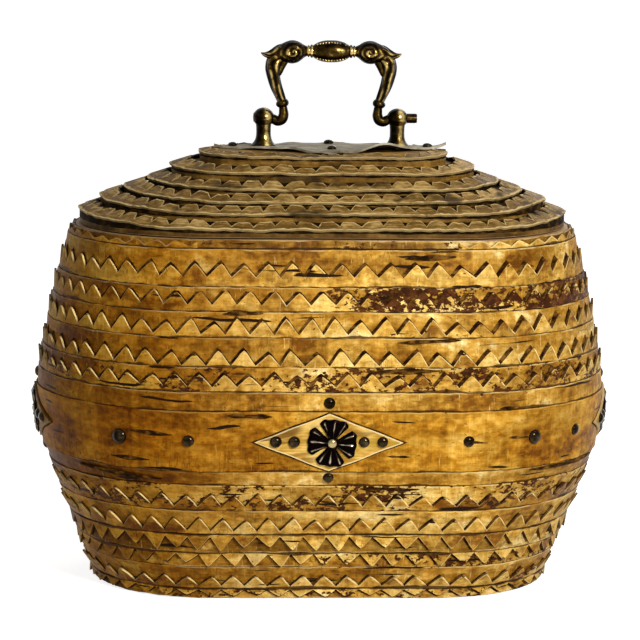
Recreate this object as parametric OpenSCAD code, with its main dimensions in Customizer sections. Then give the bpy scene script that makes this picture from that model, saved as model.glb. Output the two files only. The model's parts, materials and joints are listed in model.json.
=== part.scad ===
/* [Plan] */
// Half the length of the straight middle of the oval body
spine = 62; // [45:1:80]
// How far the handle and the top plate sit to the right of the middle
handle_x = 4; // [-6:0.5:6]

/* [Body outline] */
// Radius of the rounded ends at the table
foot_r = 67.5; // [62:0.5:76]
// Radius at the upper edge of the wide band, the widest place
band_high_r = 100; // [94:1:106]
// How much less the radius is at the lower edge of the wide band
band_taper = 3.5; // [0:0.5:6]
// Radius at the mouth, under the lid
mouth_r = 81; // [76:0.5:88]
// How much the wall bows between band and mouth, where 1 is straight
bow = 1.35; // [1:0.05:1.5]

/* [Layers] */
// Thickness of one strip of bark
bark_t = 1.3; // [0.9:0.1:2]
// How far the wide band stands out past the strips beside it
band_proud = 0.8; // [0.4:0.1:1.5]
// Thickness of the bentwood wall
wall_t = 4; // [3:0.5:6]
// Thickness of the base board
base_t = 8; // [5:0.5:12]
// Thickness of the hoop inside the mouth
hoop_t = 7; // [6:0.5:9]
// Height of the hoop inside the mouth
hoop_h = 16; // [12:1:24]
// Room left between two layers
lay = 0.1; // [0.05:0.05:0.2]

/* [Courses] */
// Heights of the lower toothed courses, from the table up
lower_h = [6.7, 14.4, 8.1, 11.1, 14.3, 15.5]; // [3:0.1:20]
// Which way the lower teeth point, 1 for up and 0 for down
lower_up = [0, 1, 0, 0, 1, 1]; // [0:1]
// Height of the plain strip below the wide band
under_band_h = 8.5; // [7:0.1:12]
// Height of the wide plain band
band_h = 33.8; // [32.6:0.1:36]
// Height of the plain strip above the wide band
over_band_h = 10.4; // [8:0.1:13]
// Heights of the upper toothed courses, from the band up
upper_h = [13.3, 15.7, 13.7, 13.1, 20]; // [9:0.1:24]
// Height of the worn course under the lid
worn_h = 4.7; // [4:0.1:7]
// Distance from tooth to tooth along a strip
tooth_pitch = 12.8; // [10:0.1:16]
// Height of a tooth
tooth_h = 7.4; // [5:0.1:8]
// Part of a course that its toothed strip covers
strip_share = 0.74; // [0.66:0.02:0.84]
// Part of the pitch that a worn tip keeps flat
tip_share = 0.1; // [0.06:0.02:0.2]

/* [Lid] */
// Gap between the mouth and the lid board
seam = 0.8; // [0.5:0.1:1.2]
// Half widths of the lid's steps, from the rim up
step_hw = [138, 126, 112.5, 99, 86, 70]; // [60:0.5:150]
// Half depths of the lid's steps, from the rim up
step_hd = [77, 69, 61, 53, 45, 36]; // [30:0.5:84]
// Height of the rim's own edge
rim_h = 4.9; // [4.6:0.1:6.5]
// Rises from each step to the next, from the rim up
step_rise = [7.5, 5.7, 6, 8.3, 8]; // [5:0.1:9]
// How much a tread climbs across its sloping margin
tread_rise = 2.6; // [2:0.1:3.2]
// Width of a tread's sloping margin
tread_w = 8; // [7:0.5:9]

/* [Top plate] */
// Length of the diamond plate on the lid
plate_l = 126; // [110:1:128]
// Width of the diamond plate on the lid
plate_w = 50; // [40:1:56]
// Nails in the plate, as a share of the way out to its tips
plate_nail_x = 0.88; // [0.8:0.01:0.9]
// Nails in the plate, as a share of the way out to its blunt corners
plate_nail_y = 0.68; // [0.5:0.01:0.75]

/* [Handle] */
// Distance between the two posts
post_gap = 76; // [64:1:84]
// Height of the pivot over the top plate
pivot_h = 16.2; // [14:0.1:18]
// Radius of the ball on a post
ball_r = 5.9; // [5.4:0.1:6.6]
// Radius of a post's neck
neck_r = 4.3; // [3.6:0.1:5]
// Radius of a post's foot
post_foot_r = 6.4; // [5.6:0.1:7.5]
// Radius of the bolt under a post
bolt_r = 2.4; // [2:0.1:3]
// Radius of the bail's pin ends
bail_pin_r = 2.8; // [2.4:0.1:3.2]
// Height of the grip's middle over the pivot
grip_h = 38; // [34:0.5:42]
// Radius of the barrel in the middle of the grip
barrel_r = 6.2; // [5.5:0.1:6.6]
// Length of the barrel
barrel_l = 24; // [20:0.5:28]
// Radius of the bulbs beside the barrel
bulb_r = 6.4; // [5.5:0.1:6.6]

/* [Plaques and nails] */
// Length of a diamond plaque
plaque_l = 81; // [66:1:86]
// Height of a diamond plaque
plaque_h = 32; // [28:0.2:32.4]
// Size of a rosette across two petals
rosette_d = 26; // [22:0.1:28]
// Diameter of a small nail's head
nail_d = 6.3; // [5:0.1:7]
// Diameter of a large nail's head
big_nail_d = 8.4; // [7.2:0.1:9]
// Nails on a plaque, out from its middle
plaque_nail_x = [19, 29]; // [17:1:32]
// Nails on the band, along it from the middle of a long side
band_nail_s = [76.5, 117, 151]; // [66:0.5:160]

/* [Hinges] */
// Distance of a hinge from the middle of the back
hinge_x = 40; // [30:1:46]
// Length of a hinge
hinge_l = 26; // [22:1:32]
// Radius of a hinge knuckle
knuckle_r = 2.4; // [2.1:0.1:2.8]
// Radius of a hinge pin
pin_r = 1.2; // [1:0.1:1.4]
// Thickness of a hinge leaf
leaf_t = 1.1; // [0.8:0.1:1.4]
// Distance from hinge to hinge screw along the seam
screw_x = 8; // [7:0.5:9]
// Radius of a hinge screw
screw_r = 1.1; // [0.9:0.1:1.3]
// Length of a hinge screw
screw_l = 3.2; // [2.8:0.1:3.4]

/* [Hidden] */
$fn = 64;
// Clearance of a pin or bolt in its bore
fit = 0.05;
// How far a cut runs past the face that it opens
past = 1;
nail_r = 0.8;
// How far a notch is cut past the tips of its teeth, as a share of its depth
notch_over = 1.04;
nut_h = 4;
// How far a pin end stands out past its ball, left and right
stub = [1, 4.4];
// From the mouth's edge to the hinge barrel
barrel_gap = 0.7;
// From the hoop's inside to a leaf's end, and on from there to its screws
leaf_inset = 1.2;
screw_inset = 3.2;
// Room between a leaf and the other leaf's knuckles
knuckle_gap = 0.5;

function total(h, k) = k == 0 ? 0 : total(h, k - 1) + h[k - 1];
lower_z = [for (k = [0:len(lower_h)]) total(lower_h, k)];
under_band_z = lower_z[len(lower_h)];
band_z = under_band_z + under_band_h;
over_band_z = band_z + band_h;
upper_z0 = over_band_z + over_band_h;
upper_z = [for (k = [0:len(upper_h)]) upper_z0 + total(upper_h, k)];
worn_z = upper_z[len(upper_h)];
mouth_z = worn_z + worn_h;
course_z = concat(lower_z, [band_z, over_band_z], upper_z, [mouth_z]);
jacket_split = band_z + band_h / 2;

band_low_r = band_high_r - band_taper;

// Outer radius of the rounded ends at a height
function climb(a, b, t) = a + (b - a) * t;
function skin_r(z) =
    z < band_z ? climb(foot_r, band_low_r, z / band_z)
    : z < over_band_z ? climb(band_low_r, band_high_r, (z - band_z) / band_h)
    : climb(band_high_r, mouth_r, pow((z - over_band_z) / (mouth_z - over_band_z), bow));
function lean(z) = atan((skin_r(z + 0.5) - skin_r(z - 0.5)));

// Layers, as depths under the skin
jacket_out = -bark_t - lay;
jacket_in = jacket_out - bark_t;
wall_out = jacket_in - lay;
wall_in = wall_out - wall_t;
hoop_out = wall_in - lay;
// A nail stops short of the wall's inner face, also where the wall leans
nail_l = -wall_in * cos(lean(under_band_z)) - 4 * lay;

lid_z = mouth_z + seam;
steps = len(step_hw);
function edge_z(k) = lid_z + rim_h + total(step_rise, k);
function flat_z(k) = edge_z(k) + tread_rise - bark_t;
function step_foot(k) = k == 0 ? lid_z : flat_z(k - 1) + lay;
function step_spine(k) = step_hw[k] - step_hd[k];
top_z = flat_z(steps - 1) + lay;
plate_top = top_z + bark_t;
pivot_z = plate_top + pivot_h;
grip_z = pivot_z + grip_h;

hinge_y = mouth_r + knuckle_r + barrel_gap;
hinge_z = mouth_z + seam / 2;
leaf_y = mouth_r + hoop_out - hoop_t + leaf_inset;
screw_y = leaf_y + screw_inset;
knuckle_l = hinge_l / 3;

wood = "burlywood";
bark = "peru";
grey_bark = "tan";
brass = "darkgoldenrod";
iron = "dimgray";

// A profile of radius and height, carried round an oval with a straight middle
module track(c) {
    translate([c, 0, 0]) rotate(-90) rotate_extrude(angle = 180) children();
    translate([-c, 0, 0]) rotate(90) rotate_extrude(angle = 180) children();
    for (side = [-90, 90]) rotate(side)
        rotate([90, 0, 0]) linear_extrude(2 * c, center = true) children();
}

// Place along an oval from the middle of its front towards +X: spine point and facing
function track_length(r, c) = 2 * PI * r + 4 * c;
function track_spot(s, r, c) =
    let (round = PI * r, all = track_length(r, c), t = s - all * floor(s / all), turn = 180 / (PI * r))
    t <= c ? [t, -90]
    : t < c + round ? [c, -90 + (t - c) * turn]
    : t <= 3 * c + round ? [2 * c + round - t, 90]
    : t < 3 * c + 2 * round ? [-c, 90 + (t - 3 * c - round) * turn]
    : [t - all, -90];

module on_track(s, r, c) {
    spot = track_spot(s, r, c);
    translate([spot[0], 0, 0]) rotate(spot[1]) children();
}

// Outline in the plane that faces outward, pushed outward from radius r
module outward(r, depth) {
    translate([r, 0, 0]) rotate([90, 0, 90]) linear_extrude(depth) children();
}

// One layer between two heights, with its faces at two depths under the skin
module layer(z0, z1, depth_in, depth_out) {
    track(spine) polygon([
        [skin_r(z0) + depth_in, z0], [skin_r(z0) + depth_out, z0],
        [skin_r(z1) + depth_out, z1], [skin_r(z1) + depth_in, z1]]);
}

// A layer that follows every course between two heights
module coat(z0, z1, depth_in, depth_out) {
    zs = concat([z0], [for (z = course_z) if (z > z0 + 0.5 && z < z1 - 0.5) z], [z1]);
    last = len(zs) - 1;
    track(spine) polygon(concat(
        [for (z = zs) [skin_r(z) + depth_out, z]],
        [for (k = [last:-1:0]) [skin_r(zs[k]) + depth_in, zs[k]]]));
}

// A strip with saw teeth along its upper or its lower edge
module toothed_strip(z0, h, up) {
    bite = min(tooth_h, 0.6 * h);
    low = up ? z0 + lay : z0 + (1 - strip_share) * h;
    high = up ? z0 + strip_share * h : z0 + h - lay;
    tip = up ? high : low;
    root = up ? high - bite : low + bite;
    r = skin_r(tip);
    count = round(track_length(r, spine) / tooth_pitch);
    step = track_length(r, spine) / count;
    gap = step * (1 - tip_share) / 2 * notch_over;
    end = climb(root, tip, notch_over);
    color(bark) difference() {
        layer(low, high, -bark_t, 0);
        for (k = [0:count - 1]) on_track((k + 0.5) * step, r, spine)
            outward(r - 4 * bark_t, 8 * bark_t) polygon([[0, root], [-gap, end], [gap, end]]);
    }
}

// Nails on the body: place along the oval, height, head diameter and how far the head sits out.
// One is lost from the front, at the left end of the row.
side_s = track_length(band_high_r, spine) / 4;
mid_band_z = band_z + band_h / 2;
plaque_out = band_proud + lay + bark_t;
plaque_spots = [for (q = [0:3], x = plaque_nail_x, m = [-1, 1])
    [q * side_s + m * x, mid_band_z, nail_d, plaque_out]];
edge_spots = [for (q = [0:3], z = [band_z - under_band_h / 2, over_band_z + over_band_h / 2])
    [q * side_s, z, nail_d, 0]];
band_spots = [for (q = [0, 2], k = [0:len(band_nail_s) - 1], m = [-1, 1])
    if (!(q == 0 && k == 2 && m == -1))
        [q * side_s + m * band_nail_s[k], mid_band_z, k == 1 ? big_nail_d : nail_d, band_proud]];
small_spots = concat(plaque_spots, edge_spots, [for (p = band_spots) if (p[2] == nail_d) p]);
large_spots = [for (p = band_spots) if (p[2] != nail_d) p];
nail_spots = concat(small_spots, large_spots);

module at_nail(spot) {
    on_track(spot[0], band_high_r, spine)
        translate([skin_r(spot[1]) + spot[3] + lay, 0, spot[1]])
        rotate([0, 90 + lean(spot[1]), 0]) children();
}

// A round cap, by its width and its height
module dome(d, rise) {
    ball = (d * d / 4 + rise * rise) / (2 * rise);
    intersection() {
        translate([0, 0, rise - ball]) sphere(ball);
        cylinder(r = d, h = rise + past);
    }
}

// Domed head over a shank that points down
module dome_nail(d) {
    rise = 0.32 * d;
    dome(d, rise);
    translate([0, 0, -nail_l]) cylinder(r = nail_r, h = nail_l + rise / 4);
}

module nail_bores(spots) {
    for (spot = spots) at_nail(spot)
        translate([0, 0, -nail_l - 2 * lay]) cylinder(r = nail_r + fit, h = nail_l + 3 * past);
}

// Seats for the hinge leaves in the mouth's edge
module hinge_pockets() {
    for (side = [-1, 1]) translate([side * hinge_x - hinge_l / 2 - lay, leaf_y - lay, mouth_z - leaf_t - lay])
        cube([hinge_l + 2 * lay, hoop_t + wall_t + 8 * bark_t, leaf_t + past + lay]);
}

module base_board() {
    color(wood) track(spine) polygon([
        [0, 0], [skin_r(0) + wall_in - lay, 0], [skin_r(base_t) + wall_in - lay, base_t], [0, base_t]]);
}

module wall() {
    color(wood) difference() {
        coat(0, mouth_z, wall_in, wall_out);
        nail_bores(nail_spots);
        hinge_pockets();
    }
}

module mouth_hoop() {
    top_r = mouth_r + hoop_out;
    color(wood) difference() {
        track(spine) polygon([
            [top_r - hoop_t, mouth_z - hoop_h], [top_r, mouth_z - hoop_h],
            [top_r, mouth_z], [top_r - hoop_t, mouth_z]]);
        hinge_pockets();
        at_hinge_screws() translate([0, 0, mouth_z - leaf_t - screw_l - lay])
            cylinder(r = screw_r + fit, h = screw_l + leaf_t + past);
    }
}

module lower_jacket() {
    color(bark) difference() {
        coat(0, jacket_split - lay, jacket_in, jacket_out);
        nail_bores(nail_spots);
    }
}

module upper_jacket() {
    color(bark) difference() {
        coat(jacket_split, mouth_z, jacket_in, jacket_out);
        nail_bores(nail_spots);
        hinge_pockets();
    }
}

module lower_strip(k) { toothed_strip(lower_z[k], lower_h[k], lower_up[k] == 1); }
module upper_strip(k) { toothed_strip(upper_z[k], upper_h[k], true); }
module worn_strip() {
    color(bark) difference() {
        layer(worn_z + lay, mouth_z - lay, -bark_t, 0);
        hinge_pockets();
    }
}

module plain_strip(z0, h) {
    color(bark) difference() {
        layer(z0 + lay, z0 + h - lay, -bark_t, 0);
        nail_bores(edge_spots);
    }
}

module wide_band() {
    color(bark) difference() {
        layer(band_z, over_band_z, -bark_t, band_proud);
        nail_bores(nail_spots);
    }
}

// A diamond of bark on the band, on one of the four sides
module plaque(side) {
    s = side * side_s;
    color(grey_bark) difference() {
        intersection() {
            layer(band_z, over_band_z, band_proud + lay, plaque_out);
            on_track(s, band_high_r, spine) outward(band_low_r / 2, band_high_r)
                polygon([[-plaque_l / 2, mid_band_z], [0, mid_band_z - plaque_h / 2],
                    [plaque_l / 2, mid_band_z], [0, mid_band_z + plaque_h / 2]]);
        }
        nail_bores(plaque_spots);
    }
}

// A cross of four ridged petals round a domed middle
module rosette(side) {
    plate_t = 1.2;
    ridge_t = 0.7;
    reach = rosette_d / 2;
    flare = 0.34 * rosette_d;
    color(iron) on_track(side * side_s, band_high_r, spine)
        translate([skin_r(mid_band_z) + plaque_out + 2 * lay, 0, mid_band_z])
        rotate([0, 90 + lean(mid_band_z), 0]) {
            cylinder(r = 0.2 * rosette_d, h = plate_t);
            translate([0, 0, plate_t]) dome(0.26 * rosette_d, 0.08 * rosette_d);
            for (turn = [0, 90, 180, 270]) rotate(turn) {
                linear_extrude(plate_t) polygon([
                    [0.12 * reach, 0.16 * reach], [0.78 * reach, flare / 2], [reach, 0],
                    [0.78 * reach, -flare / 2], [0.12 * reach, -0.16 * reach]]);
                for (bend = [-13, 0, 13]) rotate(bend)
                    translate([0.42 * reach, -0.35, plate_t - 0.1]) cube([0.38 * reach, 0.7, ridge_t + 0.1]);
            }
        }
}

module small_nails() { color(iron) for (spot = small_spots) at_nail(spot) dome_nail(nail_d); }
module large_nails() { color(iron) for (spot = large_spots) at_nail(spot) dome_nail(big_nail_d); }

module at_hinge_screws() {
    for (side = [-1, 1], x = [-screw_x, screw_x]) translate([side * hinge_x + x, screw_y, 0]) children();
}

// Barrel of one hinge along X, from one place to another
module knuckle(r, x0, x1) {
    translate([x0, hinge_y, hinge_z]) rotate([0, 90, 0]) cylinder(r = r, h = x1 - x0);
}

// A leaf from its seat to the pin, with the knuckles that it owns
module leaf(z0, outer_knuckles) {
    half = hinge_l / 2;
    own = outer_knuckles ? [[-half, -knuckle_l / 2 - lay], [knuckle_l / 2 + lay, half]]
        : [[-knuckle_l / 2 + lay, knuckle_l / 2 - lay]];
    difference() {
        union() {
            translate([-half, leaf_y, z0])
                cube([hinge_l, hinge_y - knuckle_r - knuckle_gap - leaf_y, leaf_t]);
            for (span = own) {
                translate([span[0], screw_y, z0]) cube([span[1] - span[0], hinge_y - screw_y, leaf_t]);
                knuckle(knuckle_r, span[0], span[1]);
            }
        }
        knuckle(pin_r + fit, -hinge_l, hinge_l);
        for (x = [-screw_x, screw_x]) translate([x, screw_y, z0 - past])
            cylinder(r = screw_r + fit, h = leaf_t + 2 * past);
    }
}

module hinge_body_leaves() {
    color(brass) for (side = [-1, 1]) translate([side * hinge_x, 0, 0]) leaf(mouth_z - leaf_t, true);
}

module hinge_lid_leaves() {
    color(brass) for (side = [-1, 1]) translate([side * hinge_x, 0, 0]) leaf(lid_z, false);
}

module hinge_pins() {
    color(iron) for (side = [-1, 1]) translate([side * hinge_x, 0, 0])
        knuckle(pin_r, -hinge_l / 2 - knuckle_gap, hinge_l / 2 + knuckle_gap);
}

module hinge_body_screws() {
    color(iron) at_hinge_screws() translate([0, 0, mouth_z - leaf_t - screw_l])
        cylinder(r = screw_r, h = screw_l + leaf_t);
}

module hinge_lid_screws() {
    color(iron) at_hinge_screws() translate([0, 0, lid_z]) cylinder(r = screw_r, h = screw_l + leaf_t);
}

module at_posts() {
    for (side = [-1, 1]) translate([handle_x + side * post_gap / 2, 0, 0]) children();
}

module bolt_bores() {
    at_posts() translate([0, 0, lid_z - past]) cylinder(r = bolt_r + fit, h = plate_top - lid_z + 2 * past);
}

// One board of the lid, with a sloping margin that its tread strip lies on
module lid_layer(k) {
    hd = step_hd[k];
    color(wood) difference() {
        track(step_spine(k)) polygon([
            [0, step_foot(k)], [hd, step_foot(k)], [hd, edge_z(k) - bark_t - lay],
            [hd - tread_w, flat_z(k)], [0, flat_z(k)]]);
        bolt_bores();
        children();
    }
}

module lid_board() {
    lid_layer(0) union() {
        for (side = [-1, 1]) translate([side * hinge_x - hinge_l / 2 - lay, leaf_y - lay, lid_z - past])
            cube([hinge_l + 2 * lay, hoop_t + wall_t + 8 * bark_t, leaf_t + lay + past]);
        at_hinge_screws() translate([0, 0, lid_z]) cylinder(r = screw_r + fit, h = screw_l + leaf_t + lay);
    }
}

module lid_step(k) {
    lid_layer(k) if (k == steps - 1) top_nail_bores();
}

// Bark strip on a step's margin, with its teeth pointing up the slope
module lid_tread(k) {
    hd = step_hd[k];
    c = step_spine(k);
    rise = (flat_z(k) - edge_z(k) + bark_t + lay) / tread_w;
    span = k == steps - 1 ? tread_w : min(tread_w, step_hd[k] - step_hd[k + 1]) - 4 * lay;
    base = edge_z(k) - bark_t;
    root = hd - 0.22 * span;
    tip = hd - span;
    count = round(track_length(hd, c) / tooth_pitch);
    step = track_length(hd, c) / count;
    gap = step * (1 - tip_share) / 2 * tip / hd * notch_over;
    end = climb(root, tip, notch_over);
    color(grey_bark) difference() {
        track(c) polygon([[tip, base + rise * span], [hd, base], [hd, base + bark_t],
            [tip, base + rise * span + bark_t]]);
        for (m = [0:count - 1]) on_track((m + 0.5) * step, hd, c) translate([0, 0, base - past])
            linear_extrude(rise * span + 2 * bark_t + 2 * past) polygon([[root, 0], [end, gap], [end, -gap]]);
        if (k == steps - 1) translate([0, 0, base])
            linear_extrude(tread_rise + 2 * bark_t) plate_outline(4 * lay);
    }
}

module at_top_nails() {
    for (p = [[plate_nail_x, 0], [-plate_nail_x, 0], [0, plate_nail_y], [0, -plate_nail_y]])
        translate([handle_x + p[0] * plate_l / 2, p[1] * plate_w / 2, plate_top + lay]) children();
}

module top_nail_bores() {
    at_top_nails() translate([0, 0, -nail_l - 2 * lay]) cylinder(r = nail_r + fit, h = nail_l + 3 * past);
}

module plate_outline(grow) {
    l = plate_l / 2 + grow * plate_l / plate_w;
    w = plate_w / 2 + grow;
    translate([handle_x, 0]) polygon([[-l, 0], [0, -w], [l, 0], [0, w]]);
}

module top_plate() {
    color(grey_bark) difference() {
        translate([0, 0, top_z]) linear_extrude(bark_t) plate_outline(0);
        bolt_bores();
        top_nail_bores();
    }
}

module top_plate_nails() { color(iron) at_top_nails() dome_nail(nail_d); }

// Turned post with a ball that the bail's pin runs through, and its bolt
module post(side) {
    foot = plate_top + lay;
    lip = 1.4;
    flare = 4.5;
    color(brass) translate([handle_x + side * post_gap / 2, 0, 0]) difference() {
        union() {
            translate([0, 0, pivot_z]) sphere(ball_r);
            rotate_extrude() polygon([
                [0, foot], [post_foot_r, foot], [post_foot_r, foot + lip], [neck_r, foot + flare],
                [neck_r, pivot_z], [0, pivot_z]]);
            translate([0, 0, lid_z - nut_h - past]) cylinder(r = bolt_r, h = foot - lid_z + nut_h + 2 * past);
        }
        translate([-2 * ball_r, 0, pivot_z]) rotate([0, 90, 0])
            cylinder(r = bail_pin_r + fit, h = 4 * ball_r);
    }
}

module left_post() { post(-1); }
module right_post() { post(1); }

module post_nuts() {
    nut_r = 2.1 * bolt_r;
    color(iron) at_posts() translate([0, 0, lid_z - nut_h - lay]) difference() {
        cylinder(r = nut_r, h = nut_h, $fn = 6);
        translate([0, 0, -past]) cylinder(r = bolt_r + fit, h = nut_h + 2 * past);
    }
}

// A round bar between two points in the plane of the bail, with its own radius at each end
module bar(a, b, ra, rb) {
    d = b - a;
    translate([a[0], 0, a[1]]) rotate([0, atan2(d[0], d[1]), 0]) cylinder(r1 = ra, r2 = rb, h = norm(d));
}

module bead(p, r) { translate([p[0], 0, p[1]]) sphere(r); }

// Half of the bail, out from the middle of the grip to its pin, with points as [x, z]
module bail_half(end) {
    post_x = post_gap / 2;
    elbow = [post_x - ball_r - 5.4, pivot_z];
    lower_bead = [post_x - 12.5, pivot_z + 8.4];
    waist = [post_x - 7, pivot_z + 22];
    corner = [post_x - 6.6, grip_z - 2.6];
    leaf_tip = [post_x + 1, grip_z - 0.4];
    bulb = [20, grip_z];
    ring_x = barrel_l / 2 - 0.2;
    ring_w = 1.2;
    ring_gap = 1.9;
    ring_r = 3.6;
    core_r = 2.4;
    bar(elbow, [post_x + ball_r + end, pivot_z], bail_pin_r, bail_pin_r);
    bead(elbow, 3.4);
    bar(lower_bead, elbow, 2.4, 2.9);
    bead(lower_bead, 3.7);
    bar(lower_bead, waist, 2.5, 3.3);
    bead(waist, 3.7);
    bar(waist, corner, 3.2, 4.2);
    bead(corner, 4.8);
    bar(corner, leaf_tip, 3.4, 0.8);
    bar(corner, bulb, 4.2, 3.6);
    bead(bulb, bulb_r);
    bar([0, grip_z], bulb, core_r, core_r);
    for (x = [ring_x, ring_x + ring_gap]) bar([x, grip_z], [x + ring_w, grip_z], ring_r, ring_r);
}

module bail() {
    end_r = 0.62 * barrel_r;
    full_x = 0.22 * barrel_l;
    half = barrel_l / 2;
    color(brass) translate([handle_x, 0, 0]) {
        mirror([1, 0, 0]) bail_half(stub[0]);
        bail_half(stub[1]);
        translate([0, 0, grip_z]) rotate([0, 90, 0]) rotate_extrude() polygon([
            [0, -half], [end_r, -half], [barrel_r, -full_x], [barrel_r, full_x], [end_r, half], [0, half]]);
    }
}

base_board();
wall();
mouth_hoop();
lower_jacket();
upper_jacket();
lower_strip(0);  // lower_strip_1
lower_strip(1);  // lower_strip_2
lower_strip(2);  // lower_strip_3
lower_strip(3);  // lower_strip_4
lower_strip(4);  // lower_strip_5
lower_strip(5);  // lower_strip_6
plain_strip(under_band_z, under_band_h);  // under_band_strip
wide_band();
plain_strip(over_band_z, over_band_h);  // over_band_strip
upper_strip(0);  // upper_strip_1
upper_strip(1);  // upper_strip_2
upper_strip(2);  // upper_strip_3
upper_strip(3);  // upper_strip_4
upper_strip(4);  // upper_strip_5
worn_strip();
plaque(0);  // front_plaque
plaque(1);  // right_plaque
plaque(2);  // back_plaque
plaque(3);  // left_plaque
rosette(0);  // front_rosette
rosette(1);  // right_rosette
rosette(2);  // back_rosette
rosette(3);  // left_rosette
small_nails();
large_nails();
hinge_body_leaves();
hinge_pins();
hinge_body_screws();
lid_board();
lid_step(1);  // lid_step_2
lid_step(2);  // lid_step_3
lid_step(3);  // lid_step_4
lid_step(4);  // lid_step_5
lid_step(5);  // lid_step_6
lid_tread(0);  // lid_tread_1
lid_tread(1);  // lid_tread_2
lid_tread(2);  // lid_tread_3
lid_tread(3);  // lid_tread_4
lid_tread(4);  // lid_tread_5
lid_tread(5);  // lid_tread_6
top_plate();
top_plate_nails();
left_post();
right_post();
post_nuts();
hinge_lid_leaves();
hinge_lid_screws();
bail();
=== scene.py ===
import json
import math
import random

import bmesh
import bpy
from mathutils import Matrix, Vector


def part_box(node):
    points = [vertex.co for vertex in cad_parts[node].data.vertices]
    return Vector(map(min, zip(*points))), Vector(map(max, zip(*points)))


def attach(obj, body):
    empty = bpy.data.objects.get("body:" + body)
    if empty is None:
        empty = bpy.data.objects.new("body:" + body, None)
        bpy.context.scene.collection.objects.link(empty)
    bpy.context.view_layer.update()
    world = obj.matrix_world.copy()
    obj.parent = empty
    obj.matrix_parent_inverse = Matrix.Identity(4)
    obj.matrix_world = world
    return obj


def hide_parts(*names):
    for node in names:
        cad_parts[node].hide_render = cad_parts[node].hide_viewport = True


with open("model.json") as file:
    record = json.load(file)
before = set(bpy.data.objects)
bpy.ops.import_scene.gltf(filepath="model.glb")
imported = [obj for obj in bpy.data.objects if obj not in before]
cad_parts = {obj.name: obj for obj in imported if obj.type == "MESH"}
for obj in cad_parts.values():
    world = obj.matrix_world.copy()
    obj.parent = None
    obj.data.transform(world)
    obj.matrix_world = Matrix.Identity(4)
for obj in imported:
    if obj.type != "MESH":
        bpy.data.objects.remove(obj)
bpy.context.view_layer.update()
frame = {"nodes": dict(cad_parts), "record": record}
mm = 0.001
weld = 1e-6  # points that lie closer than this are one point
print("frame loaded:", len(frame["nodes"]), "nodes")


def addNode(tree, kind, values=None, **settings):
    made = tree.nodes.new(kind)
    for key, value in settings.items():
        setattr(made, key, value)
    for key, value in (values or {}).items():
        if isinstance(value, bpy.types.NodeSocket):
            tree.links.new(value, made.inputs[key])
        else:
            made.inputs[key].default_value = value
    return made


def calc(tree, operation, a, b=0.0, clamp=False):
    return addNode(tree, "ShaderNodeMath", {0: a, 1: b}, operation=operation, use_clamp=clamp).outputs[0]


def add(tree, a, b):
    return calc(tree, "ADD", a, b)


def sub(tree, a, b):
    return calc(tree, "SUBTRACT", a, b)


def mul(tree, a, b, clamp=False):
    return calc(tree, "MULTIPLY", a, b, clamp)


# the sum of several values, each times its own share
def weigh(tree, *shares):
    total = None
    for value, share in shares:
        part = mul(tree, value, share)
        total = part if total is None else add(tree, total, part)
    return total


def vec(tree, operation, a, b=(0.0, 0.0, 0.0)):
    return addNode(tree, "ShaderNodeVectorMath", {0: a, 1: b}, operation=operation).outputs[0]


def joinXyz(tree, x, y, z):
    return addNode(tree, "ShaderNodeCombineXYZ", {"X": x, "Y": y, "Z": z}).outputs[0]


def splitXyz(tree, vector):
    return addNode(tree, "ShaderNodeSeparateXYZ", {0: vector}).outputs


# a smooth rise from 0 to 1 between two levels
def step(tree, value, low, high):
    return addNode(tree, "ShaderNodeMapRange", {"Value": value, "From Min": low, "From Max": high},
                   interpolation_type="SMOOTHSTEP").outputs["Result"]


def putIn(name, data):
    made = bpy.data.objects.new(name, data)
    bpy.context.scene.collection.objects.link(made)
    return made


def addMesh(name, mesh, body, slot, *nodes):
    mesh.shade_smooth()
    mesh.set_sharp_from_angle(angle=math.radians(35))
    piece = putIn(name, mesh)
    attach(piece, body)
    if nodes:
        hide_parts(*nodes)
    return piece


def plainMesh(name, work):
    mesh = bpy.data.meshes.new(name)
    work.to_mesh(mesh)
    work.free()
    return mesh


# joins points that meet and turns the faces of a closed shell outward
def turnOut(work):
    bmesh.ops.remove_doubles(work, verts=work.verts, dist=weld)
    bmesh.ops.recalc_face_normals(work, faces=work.faces)


# faces between rings of points, with a lid on each end
def skinRings(work, rings):
    for a, b in zip(rings, rings[1:]):
        for k in range(len(a)):
            near = (k + 1) % len(a)
            work.faces.new((a[k], a[near], b[near], b[k]))
    work.faces.new(rings[0])
    work.faces.new(rings[-1])


def newMaterial(name):
    material = bpy.data.materials.new(name)
    material.use_nodes = True
    tree = material.node_tree
    return material, tree, tree.nodes["Principled BSDF"]


def readMark(tree, name, output="Fac"):
    return addNode(tree, "ShaderNodeAttribute", attribute_name=name).outputs[output]


def objectPlace(tree):
    return addNode(tree, "ShaderNodeTexCoord").outputs["Object"]


def pattern(tree, place, scale, detail=2.0, rough=0.5, seed=0.0):
    spot = vec(tree, "MULTIPLY", place, scale)
    if seed:
        spot = vec(tree, "ADD", spot, (seed, seed * 1.7, seed * 0.6))
    return addNode(tree, "ShaderNodeTexNoise", {"Vector": spot, "Scale": 1.0, "Detail": detail,
                                               "Roughness": rough}).outputs["Fac"]


# the places where a pattern passes a level
def patches(tree, place, scale, low, high, detail=2.0, rough=0.6, seed=0.0):
    return step(tree, pattern(tree, place, scale, detail, rough, seed), low, high)


def ramp(tree, value, *stops):
    made = addNode(tree, "ShaderNodeValToRGB", {"Fac": value})
    marks = made.color_ramp.elements
    while len(marks) < len(stops):
        marks.new(0.5)
    for mark, (place, colour) in zip(marks, stops):
        mark.position = place
        mark.color = (*colour, 1.0)
    return made.outputs["Color"]


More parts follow.
